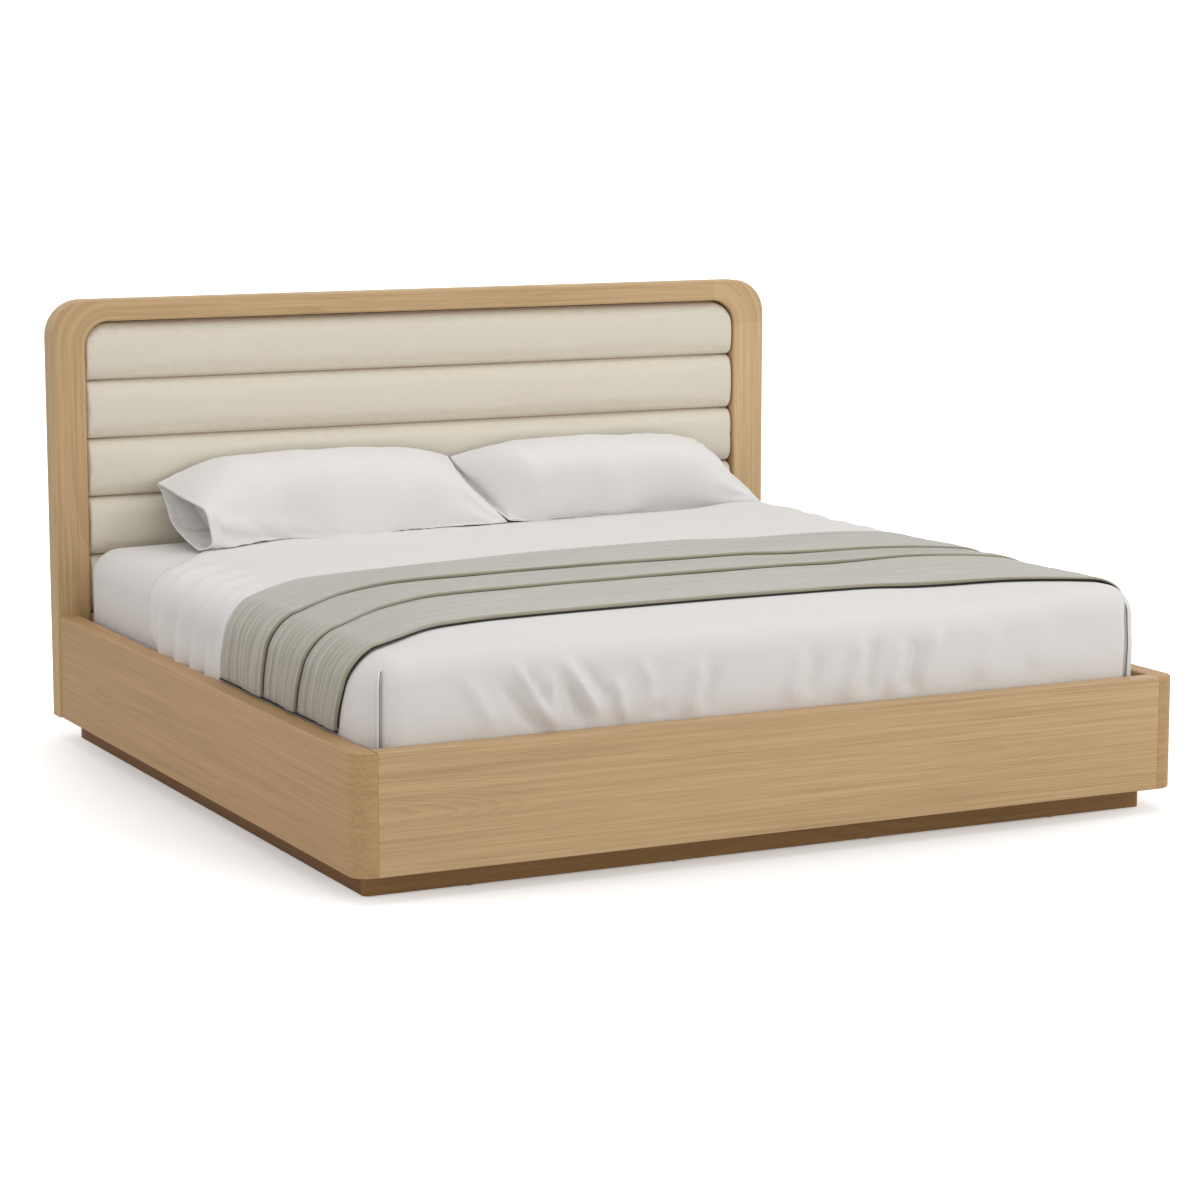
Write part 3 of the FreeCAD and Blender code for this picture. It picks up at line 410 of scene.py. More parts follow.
def cloth(name, colour, thread=0.0016, slub=0.08, slub_length=0.05, rough=0.9, sheen=0.2, bump=0.15,
          crosswise=1.0, slub_width=0.0035):
    """A woven finish that reads the flat cloth from the piece's UV map, in metres."""
    material, tree, shader = new_finish(name)
    flat_cloth = add(tree, "ShaderNodeUVMap", uv_map="flat").outputs[0]
    woven = add(tree, "ShaderNodeGroup", node_tree=weave)
    plug(tree, woven, {"Cloth": flat_cloth, "Thread": thread, "Slub": slub, "Slub length": slub_length,
                       "Slub width": slub_width, "Crosswise": crosswise, "Color": colour + (1,)})
    relief = add(tree, "ShaderNodeBump", {"Strength": bump, "Distance": thread * 0.5,
                                          "Height": woven.outputs["Height"]})
    plug(tree, shader, {"Base Color": woven.outputs["Color"], "Normal": relief.outputs[0], "Roughness": rough,
                        "Specular IOR Level": 0.15, "Sheen Weight": sheen, "Sheen Roughness": 0.5})
    return material


cover_cloth = cloth("white_coverlet", (0.80, 0.775, 0.755), 0.0018, 0.05)
sheet_cloth = cloth("white_sheet", (0.78, 0.755, 0.735), 0.0012, 0.04)
case_cloth = cloth("white_pillowcase", (0.83, 0.81, 0.798), 0.0012, 0.05)
fill_cloth = cloth("pillow_ticking", (0.60, 0.57, 0.55), 0.0012, 0.06)
pad_cloth = cloth("cream_pad_cloth", (0.79, 0.73, 0.615), 0.003, 0.10, 0.03, 0.92, 0.15, 0.3)
throw_cloth = cloth("sage_linen", (0.356, 0.319, 0.234), 0.0026, 0.85, 0.30, 0.93, 1.0, 0.6, 0.15, 0.013)
ticking = cloth("mattress_ticking", (0.72, 0.70, 0.66), 0.002, 0.08)
webbing = cloth("strap_webbing", (0.25, 0.25, 0.26), 0.003, 0.15, 0.02, 0.85, 0.1, 0.4)
print("cloths:", [made.name for made in (cover_cloth, sheet_cloth, case_cloth, fill_cloth, pad_cloth,
                                         throw_cloth, ticking, webbing)])

# %% [markdown]
# ## Sewing a soft piece from grids
#
# A soft piece starts as grids of points: the top of a cover, the band round its sides. Where two grids
# meet, their points fall in the same place and become one, like a sewn seam. The piece stays as plain
# arrays while it is shaped: pushing points along the surface's own normal raises folds and swells. Only at
# the end does it become a mesh, with a UV map that still holds the flat cloth in metres, and a second face
# when it is thick.


# %% The sewing class
class Cloth:
    """Grids of points sewn into one surface, shaped as arrays and made into a mesh at the end."""

    def __init__(self, *grids):
        """Each grid is a pair: rows and columns of places, and the same points on the flat cloth."""
        places = np.concatenate([g[0].reshape(-1, 3) for g in grids])
        self.flats = np.concatenate([g[1].reshape(-1, 2) for g in grids])
        _, first, owner = np.unique(np.round(places, 5), axis=0, return_index=True, return_inverse=True)
        owner = owner.reshape(-1)
        self.points, self.flat = places[first].copy(), self.flats[first]
        self.corners, self.ids, start = [], [], 0
        for places, _ in grids:
            rows, columns = places.shape[:2]
            n = np.arange(start, start + rows * columns).reshape(rows, columns)
            start += rows * columns
            self.ids.append(owner[n])
            self.corners.append(np.stack([n[:-1, :-1], n[1:, :-1], n[1:, 1:], n[:-1, 1:]], -1).reshape(-1, 4))
        self.corners = np.concatenate(self.corners)
        self.quads = owner[self.corners]

    def normals(self):
        """The direction out of the surface at each point."""
        p = self.points[self.quads]
        lift = np.cross(p[:, 2] - p[:, 0], p[:, 3] - p[:, 1])
        total = np.zeros_like(self.points)
        for k in range(4):
            np.add.at(total, self.quads[:, k], lift)
        return total / np.maximum(np.linalg.norm(total, axis=1, keepdims=True), 1e-12)

    def push(self, amount):
        """Moves each point out of the surface by its own amount."""
        self.points = self.points + self.normals() * np.asarray(amount)[:, None]

    def open_edges(self):
        """Pairs of quad corners along the edges that only one face uses, with their flat corners."""
        a, fa = (table.T.ravel() for table in (self.quads, self.corners))
        b, fb = (np.roll(table, -1, axis=1).T.ravel() for table in (self.quads, self.corners))
        real = a != b
        a, b, fa, fb = a[real], b[real], fa[real], fb[real]
        low, high = np.minimum(a, b), np.maximum(a, b)
        _, where, count = np.unique(low * len(self.points) + high, return_inverse=True, return_counts=True)
        once = count[where.reshape(-1)] == 1
        return a[once], b[once], fa[once], fb[once]

    def piece(self, name, material, thickness=0.0):
        """The finished mesh object; with a thickness it gets an inner face and closed rims."""
        points, quads, corners = self.points, self.quads, self.corners
        if thickness:
            a, b, fa, fb = self.open_edges()
            n = len(points)
            points = np.concatenate([points, points - self.normals() * thickness])
            quads = np.concatenate([quads, quads[:, ::-1] + n, np.stack([b, a, a + n, b + n], 1)])
            corners = np.concatenate([corners, corners[:, ::-1], np.stack([fb, fa, fa, fb], 1)])
        faces, flats = [], []
        for quad, corner in zip(quads.tolist(), corners.tolist()):
            keep = [k for k in range(4) if quad[k] != quad[k - 1]]
            if len(keep) > 2:
                faces.append([quad[k] for k in keep])
                flats.extend(corner[k] for k in keep)
        mesh = bpy.data.meshes.new(name)
        mesh.from_pydata(points.tolist(), [], faces)
        mesh.uv_layers.new(name="flat").data.foreach_set("uv", self.flats[flats].astype(np.float32).ravel())
        mesh.shade_smooth()
        mesh.validate()
        made = bpy.data.objects.new(name, mesh)
        bpy.context.scene.collection.objects.link(made)
        made.data.materials.append(material)
        return made


def ripple(points, shortest, longest, seed, count=9):
    """A soft uneven swell of about -1 to 1: sine waves of mixed length and direction with a fixed seed."""
    dice = np.random.default_rng(seed)
    total = np.zeros(len(points))
    for _ in range(count):
        aim = dice.normal(size=points.shape[1])
        aim *= 2 * math.pi / (np.linalg.norm(aim) * dice.uniform(shortest, longest))
        total += np.sin(points @ aim + dice.uniform(0, 2 * math.pi))
    return total / math.sqrt(count)


def crease(flat, start, end, width, height):
    """A fold along a line on the flat cloth: a ridge if height is positive, a dip if it is negative."""
    start, run = np.array(start), np.array(end) - np.array(start)
    along = np.clip((flat - start) @ run / (run @ run), 0, 1)
    away = np.linalg.norm(flat - start - along[:, None] * run, axis=1)
    fade = smooth(np.minimum(along, 1 - along), -0.08, 0.3)
    return height * fade * np.exp(-(away / width) ** 1.6)


def smooth(value, low, high):
    """0 below low, 1 above high and an easy curve between."""
    t = np.clip((value - low) / (high - low), 0, 1)
    return t * t * (3 - 2 * t)


def hump(value, centre, width):
    """A single soft swell: 1 at the centre, fading to 0 on both sides."""
    return np.exp(-((value - centre) / width) ** 2)


def swept(value, stations, heights):
    """A soft curve through a few measured stations."""
    fine = np.linspace(stations[0], stations[-1], 400)
    line = np.interp(fine, stations, heights)
    kernel = np.hanning(31) / np.hanning(31).sum()
    eased = np.convolve(np.pad(line, 15, mode="edge"), kernel, mode="valid")
    return np.interp(value, fine, eased)


print("sewing class ready")

# %% [markdown]
# ## Blowing up padded cloth
#
# The cloth over foam or feathers is never smooth: it is cut a little larger than the filling needs, and the
# spare cloth gathers at the seams. That is what a cloth simulation is good at. The seams are held, gravity is
# off, the cloth is allowed some slack and the filling presses from inside for twenty frames. How far any
# point may move is capped, so the piece keeps the size it was measured at.


# %% Blowing up cloth
def blow_up(piece, held, pressure, slack, cap, frames=20):
    """Simulates one piece as cloth with some points held, and keeps the capped result in its mesh."""
    pins = piece.vertex_groups.new(name="held")
    pins.add([int(k) for k in np.unique(held)], 1.0, "REPLACE")
    modifier = piece.modifiers.new("Blown up", "CLOTH")
    rules = modifier.settings
    rules.quality = 6
    rules.vertex_group_mass = "held"
    rules.use_pressure, rules.uniform_pressure_force = True, pressure
    rules.shrink_min = -slack
    rules.bending_stiffness = 0.2
    rules.effector_weights.gravity = 0.0
    modifier.point_cache.frame_start, modifier.point_cache.frame_end = 1, frames
    for number in range(1, frames + 1):
        bpy.context.scene.frame_set(number)
    blown = piece.evaluated_get(bpy.context.evaluated_depsgraph_get()).data
    count = len(piece.data.vertices)
    start, after = np.empty(count * 3), np.empty(count * 3)
    piece.data.vertices.foreach_get("co", start)
    blown.vertices.foreach_get("co", after)
    move = (after - start).reshape(-1, 3)
    far = np.linalg.norm(move, axis=1, keepdims=True)
    move *= cap * np.tanh(far / cap) / np.maximum(far, 1e-9)
    piece.modifiers.remove(modifier)
    piece.vertex_groups.remove(pins)
    piece.data.vertices.foreach_set("co", (start.reshape(-1, 3) + move).ravel())
    piece.data.update()
    bpy.context.scene.frame_set(1)
    return float(np.linalg.norm(move, axis=1).max())


print("cloth simulation ready:", "on")

# %% [markdown]
# ## Padded channels of the headboard
#
# Each channel is a strip of foam under stretched cloth, pulled tight into a seam above and below. It is
# fullest in the middle, dives steeply into the seams and rounds off at its ends; the cloth gathers a little
# where the seam pulls it. The top channel follows the rounded corners of the frame.


# %% Pads
small_corner, end_round = 0.012, 0.009


def pad_cloth_grid(low, high, half, back, front, corner):
    """The face of one channel between its seams; corner is the radius of its upper corners."""
    across, up = (300), 30
    u = np.linspace(-1, 1, across + 1)
    x = half * (np.sign(u) * (1 - (1 - np.abs(u)) ** 1.35))
    v = 0.5 - 0.5 * np.cos(math.pi * np.linspace(0, 1, up + 1))
    xx, vv = np.meshgrid(x, v, indexing="ij")
    beyond = np.clip(np.abs(xx) - (half - corner), 0, corner)
    top = high - corner + np.sqrt(np.maximum(corner ** 2 - beyond ** 2, 0))
    beyond = np.clip(np.abs(xx) - (half - small_corner), 0, small_corner)
    bottom = low + small_corner - np.sqrt(np.maximum(small_corner ** 2 - beyond ** 2, 0))
    zz = bottom + (top - bottom) * vv
    off_middle = np.abs(2 * vv - 1)
    bulge = 0.76 * np.sqrt(1 - off_middle ** 7) + 0.24 * (1 - off_middle ** 2)
    near_end = np.clip((half - np.abs(xx)) / end_round, 0, 1)
    ends = np.sqrt(np.maximum(1 - (1 - near_end) ** 2, 0))
    yy = back - (back - front - 0.002) * bulge * ends
    return np.stack([xx, yy, zz], -1), np.stack([xx, zz], -1)


pads, top_corner, joint, spread = [], 0.064, 0.0013, 0.0022
for number in range(1, 6):
    low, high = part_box(f"headboard_pad_{number}")
    corner = top_corner if number == 5 else small_corner
    pad = Cloth(pad_cloth_grid(low.z + joint, high.z - joint, high.x + spread, high.y, low.y, corner))
    tall = (pad.points[:, 2] - low.z) / (high.z - low.z)
    to_seam = np.minimum(tall, 1 - tall)
    pull = hump(to_seam, 0, 0.12) * (1 - hump(to_seam, 0, 0.02))
    gather = ripple(pad.points[:, :1], 0.03, 0.09, 40 + number) * pull * 0.0008
    swell = ripple(pad.points, 0.12, 0.35, 60 + number) * 0.0009 * np.clip(tall * (1 - tall) * 6, 0, 1)
    pad.points[:, 1] -= gather + swell
    piece = pad.piece(f"pad_{number}", pad_cloth)
    grid = pad.ids[0]
    seams = np.concatenate([grid[0], grid[-1], grid[:, 0], grid[:, -1]])
    moved = blow_up(piece, seams, pressure=2.0, slack=0.003, cap=0.003)
    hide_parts(f"headboard_pad_{number}")
    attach(piece, "base")
    pads.append(piece)
print("pads:", [p.name for p in pads], "faces each:", len(pads[0].data.polygons))
print("largest move of the last pad:", round(moved, 4))

# %% [markdown]
# ## Covering a mattress
#
# A sheet, a coverlet and the mattress's own ticking are the same shape at different sizes: a flat top, a
# rounded edge and a band hanging down the sides. The function below lays that out as two grids, the top and
# a ring that starts at the top's border, rolls over the edge and drops to the hem. At each corner the ring
# fans round.


# %% The covering function
def covering(half, foot, head, top, inset, hem, edges, crown=0.0, head_line=None, fine=0.010,
             corner_fine=1.0, fine_x=None):
    """Top grid and side ring of a mattress cover. edges = (out, down) at the sides, then at the foot."""
    inner, near = half - inset, foot + inset
    far = head if head_line is not None else head - inset
    nx, ny = int(2 * inner / (fine_x or fine)), int((far - near) / fine)
    nc = max(8, int(inset * 1.6 * corner_fine / fine))
    x = np.linspace(-inner, inner, nx + 1)
    f = np.linspace(0, 1, ny + 1)
    line = head_line if head_line is not None else (lambda run: np.full_like(run, far))

    def sag(px, py):
        """How far the top lies below its middle."""
        return crown * np.clip(np.abs(px) / inner, 0, 1) ** 4 + 0.6 * crown * smooth(-py, -near - 0.35, -near)

    xx, ff = np.meshgrid(x, f, indexing="ij")
    yy = near + (line(np.abs(xx)) - near) * ff
    top_grid = np.stack([xx, yy, top - sag(xx, yy)], -1), np.stack([xx, yy], -1)
    stops = [(-inner, k, math.pi) for k in f[::-1]]
    stops += [(-inner, 0.0, a) for a in np.linspace(math.pi, 1.5 * math.pi, nc + 1)[1:-1]]
    stops += [(k, 0.0, 1.5 * math.pi) for k in x]
    stops += [(inner, 0.0, a) for a in np.linspace(1.5 * math.pi, 2 * math.pi, nc + 1)[1:-1]]
    stops += [(inner, k, 2 * math.pi) for k in f]
    if head_line is None:
        stops += [(inner, 1.0, a) for a in np.linspace(0, 0.5 * math.pi, nc + 1)[1:-1]]
        stops += [(k, 1.0, 0.5 * math.pi) for k in x[::-1]]
        stops += [(-inner, 1.0, a) for a in np.linspace(0.5 * math.pi, math.pi, nc + 1)[1:-1]]
        stops += [stops[0]]
    base, share, angle = (np.array(column) for column in zip(*stops))
    dx, dy = np.cos(angle), np.sin(angle)
    footward = np.maximum(-dy, 0) ** 2
    out = edges[0][0] * (1 - footward) + edges[1][0] * footward
    down = edges[0][1] * (1 - footward) + edges[1][1] * footward
    start_y = near + (line(np.full_like(share, inner)) - near) * share
    height = top - sag(base, start_y)
    roll = np.linspace(0, math.pi / 2, 13)[:, None]
    level = np.linspace(0, 1, 3)[:-1, None] * (inset - out)
    reach = np.concatenate([level, inset - out + out * np.sin(roll)])
    drop = np.concatenate([height + 0 * level, height - down * (1 - np.cos(roll))])
    steps = max(6, int((top - hem) / (fine_x or fine)))
    fall = np.linspace(0, 1, steps + 1)[1:, None]
    reach = np.concatenate([reach, np.full((steps, len(base)), inset)])
    drop = np.concatenate([drop, (height - down) * (1 - fall) + hem * fall])
    run = np.concatenate([np.zeros((1, len(base))),
                          np.cumsum(np.hypot(np.diff(reach, axis=0), np.diff(drop, axis=0)), axis=0)])
    y = near + (line(inner + run) - near) * share
    places = np.stack([base + dx * reach, y + dy * reach, drop], -1)
    flats = np.stack([base + dx * run, y + dy * run], -1)
    return top_grid, (places, flats)


print("covering function ready")

# %% [markdown]
# ## The mattress
#
# Under everything lies a foam mattress in a plain ticking, its edges rounded, with a taped seam round the
# top and the bottom. Little of it shows, but it is what gives the bedding its height.

# %% Mattress
low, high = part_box("mattress")
middle, crown = (low.z + high.z) / 2, 0.006
top_half = covering(high.x, low.y, high.y, high.z, 0.08, middle, ((0.075, 0.07), (0.06, 0.06)), crown,
                    fine=0.025)
over, back_up = np.array([1, 1, -1]), np.array([0, 0, 2 * middle])
bottom_half = [(places[::-1] * over + back_up, flats[::-1]) for places, flats in top_half]
mattress = Cloth(*top_half, *bottom_half)
taped_row = 14
seam_lines = [mattress.points[ids].copy()
              for ids in (mattress.ids[1][taped_row], mattress.ids[3][::-1][taped_row])]
mattress_piece = mattress.piece("mattress_body", ticking)
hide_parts("mattress")
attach(mattress_piece, "mattress")
print("mattress:", len(mattress_piece.data.polygons), "faces")

# %% [markdown]
# ## The fitted sheet
#
# A fitted sheet is pulled over the mattress and gathered under it by elastic. Only a strip of it shows,
# beside the pillows at the head. It lies close, with a slight pull toward each corner.

# %% Fitted sheet
low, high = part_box("fitted_sheet")
sheet = Cloth(*covering(high.x, low.y, high.y, high.z, 0.0815, low.z, ((0.0765, 0.0715), (0.0615, 0.0615)),
                        crown, fine=0.016))
gather = np.clip((0.43 - sheet.points[:, 2]) / 0.12, 0, 1)
sheet.push(0.0004 * ripple(sheet.points, 0.06, 0.2, 3)
           + 0.0012 * gather * ripple(sheet.points[:, :2], 0.03, 0.08, 4))
sheet_piece = sheet.piece("fitted_sheet_cloth", sheet_cloth)
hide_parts("fitted_sheet")
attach(sheet_piece, "mattress")
drop = high.z - low.z
side = 2 * high.x + 2 * drop
print("sheet side:", round(side, 3))

# %% [markdown]
# ## The coverlet
#
# The coverlet is a soft quilt, tucked between mattress and rails. Its head end is drawn back at both sides,
# so its border runs slantwise over the edge. A cloth simulation would find folds of its own; here the
# border and the folds were measured, so they are written as lines on the flat cloth. First comes the cloth
# itself, without folds.

# %% Coverlet outline
low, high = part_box("coverlet")
cover_half, cover_inset = 1.0155, 0.0855
cover_foot, cover_hem, cover_top = low.y, low.z, high.z + 0.001
side_edge, foot_edge, cover_crown = (0.0825, 0.075), (0.062, 0.062), 0.008
inner_half = cover_half - cover_inset


def head_border(run):
    """How far up the bed the coverlet reaches, by the distance out from the middle measured on the cloth."""
    return swept(run, [0, 0.55, 0.70, 0.792, 0.896, 0.962, 0.996, 1.048, 1.089, 1.128, 1.151, 1.181, 1.30],
                 [0.84, 0.84, 0.765, 0.671, 0.522, 0.454, 0.443, 0.432, 0.443, 0.442, 0.428, 0.395, 0.34])


def right_lift(x, z):
    """The bedding stands a little fuller along the right edge of the bed; this fades out down the side."""
    return 0.026 * smooth(x, 0.5, 0.93) * smooth(z, 0.38, 0.52)


def side_sweep(run):
    """How the folds bend toward the foot as they near the edge of the bed, and back as they fall."""
    return swept(run, [0, 0.5, 0.6, 0.75, 0.89, 0.96, 1.0, 1.045, 1.10, 1.30],
                 [0, 0, -0.02, -0.05, -0.176, -0.258, -0.281, -0.288, -0.24, -0.235])


head_end = 0.735
cover = Cloth(*covering(cover_half, cover_foot, head_end, cover_top, cover_inset, cover_hem,
                        (side_edge, foot_edge), cover_crown, head_border, fine=0.014, corner_fine=3.4,
                        fine_x=0.009))
flat, points = cover.flat, cover.points
near, outward = cover_foot + cover_inset, np.abs(flat[:, 0])
length_share = (flat[:, 1] - near) / (head_border(outward) - near)
drawn_up = smooth(flat[:, 0], 0.55, 0.85) * np.clip(length_share, 0, 1)
points[:, 1] += drawn_up * (0.80 - head_border(outward))
points[:, 2] += right_lift(points[:, 0], points[:, 2])
print("coverlet points:", len(points))

# %% [markdown]
# ## Folds of the coverlet
#
# At the sides the cloth falls in soft folds that sweep toward the foot and back. Each is one swell across
# the cloth, as wide and as high as it was seen to be; its line is found by taking the sweep off the place
# on the flat cloth. Under the throw the cloth is weighed down, so there the slow unevenness nearly goes.

# %% Coverlet folds
fall = smooth(outward, 0.74, 0.96)
origin = flat[:, 1] - side_sweep(outward)
throw_middle, throw_half = -0.32, 0.66
from_throw = np.abs(points[:, 1] - throw_middle)
under_throw = (from_throw < throw_half) & (points[:, 2] > 0.30)
weighed_down = np.where(under_throw, 1 - 0.85 * smooth(throw_half - from_throw, 0, 0.08), 1.0)
shape = weighed_down * (0.0022 * ripple(points, 0.25, 0.6, 11) + 0.0007 * ripple(points, 0.08, 0.18, 12))
left = flat[:, 0] < 0
for centre, width, height in ((0.225, 0.014, 0.009), (0.275, 0.016, -0.006), (0.325, 0.017, 0.009),
                              (0.385, 0.018, -0.007), (0.44, 0.02, 0.009), (0.51, 0.02, -0.007),
                              (0.57, 0.022, 0.008), (0.64, 0.02, -0.005)):
    shape += fall * np.where(left, 1.5, 0.3) * height * hump(origin, centre, width)
for centre, width, height in ((-0.25, 0.03, 0.003), (-0.55, 0.03, -0.003)):
    shape += fall * ~left * height * hump(origin, centre, width)
low_down = np.clip((0.44 - points[:, 2]) / 0.09, 0, 1)
on_side = outward > inner_half + 0.10
for centre in (0.25, 0.11, -0.04):
    shape += on_side * low_down * 0.006 * hump(flat[:, 1], centre, 0.05)
print("largest fold:", round(float(np.abs(shape).max()), 4))

# %% [markdown]
# ## Creases at the foot
#
# Tucking the coverlet in behind the foot rail pulls slanting creases across the foot panel. Each is a ridge
# or a dip along a short line, given by its two ends on the hanging panel (x, z), its width and its height.
# A helper turns a place on the panel into a place on the flat cloth, where the lines are straight.


# %% Foot creases
def on_foot(x, z):
    """A place on the hanging foot panel as a place on the flat cloth."""
    straight = cover_top - foot_edge[1]
    over_edge = cover_inset - foot_edge[0] + foot_edge[0] * math.pi / 2
    return x, cover_foot + cover_inset - over_edge - (straight - z)


crease_strength = 2.0

for start, end, width, height in (
        ((-0.673, 0.500), (-0.574, 0.345), 0.013, 0.011), ((-0.645, 0.495), (-0.605, 0.400), 0.012, -0.006),
        ((-0.592, 0.480), (-0.570, 0.345), 0.010, 0.008), ((-0.705, 0.460), (-0.615, 0.345), 0.014, -0.007),
        ((-0.556, 0.502), (-0.462, 0.365), 0.013, 0.011), ((-0.535, 0.45), (-0.500, 0.345), 0.014, -0.008),
        ((-0.500, 0.490), (-0.440, 0.400), 0.013, -0.006), ((-0.425, 0.455), (-0.398, 0.345), 0.013, 0.008),
        ((-0.361, 0.490), (-0.310, 0.360), 0.015, 0.007), ((-0.340, 0.44), (-0.30, 0.345), 0.014, -0.005),
        ((-0.205, 0.480), (-0.240, 0.345), 0.016, 0.008), ((-0.165, 0.460), (-0.200, 0.350), 0.015, -0.006),
        ((-0.80, 0.49), (-0.715, 0.36), 0.018, 0.005), ((0.221, 0.500), (0.165, 0.345), 0.015, 0.009),
        ((0.262, 0.490), (0.225, 0.345), 0.014, -0.007), ((0.325, 0.485), (0.288, 0.345), 0.015, 0.007),
        ((0.365, 0.480), (0.340, 0.350), 0.014, -0.007), ((0.430, 0.502), (0.370, 0.355), 0.016, 0.009),
        ((0.06, 0.49), (0.02, 0.35), 0.018, 0.006), ((0.10, 0.47), (0.075, 0.36), 0.016, -0.005),
        ((0.59, 0.495), (0.53, 0.365), 0.022, 0.006), ((0.74, 0.49), (0.69, 0.38), 0.026, 0.004)):
    shape += crease(flat, on_foot(*start), on_foot(*end), width, crease_strength * height)
cover.push(shape)
print("largest crease or fold:", round(float(np.abs(shape).max()), 4))

# %% [markdown]
# ## Boxed corners
#
# At the foot each corner of the coverlet is boxed: side panel and foot panel meet in a seam. Here the seam
# is a narrow dip beside a low swell, placed by the angle round the corner; the piping in it is made further
# down. With that the coverlet is done. It gets its thickness, and its flat size says what it would be on
# the cutting table.

# %% Coverlet
ring = cover.ids[1]
turn = np.arctan2(-(flat[:, 1] - near), outward - inner_half)
round_corner = (outward > inner_half) & (flat[:, 1] < near)
seam_turn = np.where(flat[:, 0] < 0, math.pi / 4, math.radians(62))
past_seam = np.where(round_corner, (turn - seam_turn) * 0.08, 1.0)
hanging = smooth(-points[:, 2], -0.515, -0.475)
dip, swell = -0.009 * hump(past_seam, 0.008, 0.005), 0.003 * hump(past_seam, -0.012, 0.012)
cover.push(np.where(round_corner, hanging * (dip + swell), 0))
coverlet_piece = cover.piece("coverlet_quilt", cover_cloth, 0.008)
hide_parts("coverlet")
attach(coverlet_piece, "mattress")

# %% [markdown]
# ## The linen throw
#
# A long linen throw lies across the foot half of the bed, pleated into three laps like roof shingles: each
# lap ends toward the foot in a rounded fold that rests on the lap in front of it, and the last one on the
# coverlet. Where the throw passes over the edge of the bed the laps bend toward the foot, then fall to the
# rail.


# %% Throw edges
def over_the_bed(run):
    """Point and outward normal on the coverlet's cross section, by the distance from the middle."""
    level = cover_half - side_edge[0]
    flat_x = np.linspace(0, level, 60)
    angle = np.linspace(0, math.pi / 2, 30)[1:]
    low_z = cover_top - cover_crown
    straight = np.linspace(low_z - side_edge[1], 0.28, 40)[1:]
    x = np.concatenate([flat_x, level + side_edge[0] * np.sin(angle), np.full(39, cover_half)])
    z = np.concatenate([cover_top - cover_crown * np.minimum(flat_x / inner_half, 1) ** 4,
                        low_z - side_edge[1] * (1 - np.cos(angle)), straight])
    length = np.concatenate([[0], np.cumsum(np.hypot(np.diff(x), np.diff(z)))])
    tx, tz = np.gradient(x, length), np.gradient(z, length)
    distance = np.abs(run)
    px, pz, nx, nz = (np.interp(distance, length, values) for values in (x, z, -tz, tx))
    px = np.sign(run) * px
    return px, pz + right_lift(px, pz), np.sign(run) * nx, nz


throw_reach = 1.168
stations = [-throw_reach, -1.10, -1.045, -1.0, -0.96, -0.89, -0.75, -0.60, -0.45, 0.0, 0.45, 0.75, 0.89, 0.96,
            1.0, 1.045, 1.10, throw_reach]
lap_edges = {
    "back": [-0.088, -0.085, -0.138, -0.131, -0.108, -0.026, 0.104, 0.140, 0.165, 0.255, 0.281, 0.165, 0.085,
             0.03, 0.0, -0.01, 0.03, 0.04],
    "second": [-0.375, -0.380, -0.415, -0.425, -0.400, -0.325, -0.185, -0.10, -0.075, -0.053, -0.05, -0.17,
               -0.27, -0.33, -0.35, -0.36, -0.33, -0.32],
    "third": [-0.584, -0.600, -0.641, -0.666, -0.642, -0.569, -0.430, -0.335, -0.312, -0.29, -0.275, -0.335,
              -0.43, -0.50, -0.53, -0.54, -0.50, -0.49],
    "front": [-0.827, -0.845, -0.890, -0.910, -0.886, -0.835, -0.720, -0.688, -0.677, -0.66, -0.664, -0.78,
              -0.875, -0.91, -0.93, -0.92, -0.90, -0.89]}


def lap_edge(key, run):
    """Where along the bed an edge of the throw's laps lies."""
    return swept(run, stations, lap_edges[key])


def settled(run):
    """The laps lie flatter toward the right side of the bed."""
    return 1 - 0.45 * smooth(run, 0.55, 0.9)


print("throw edges:", list(lap_edges))
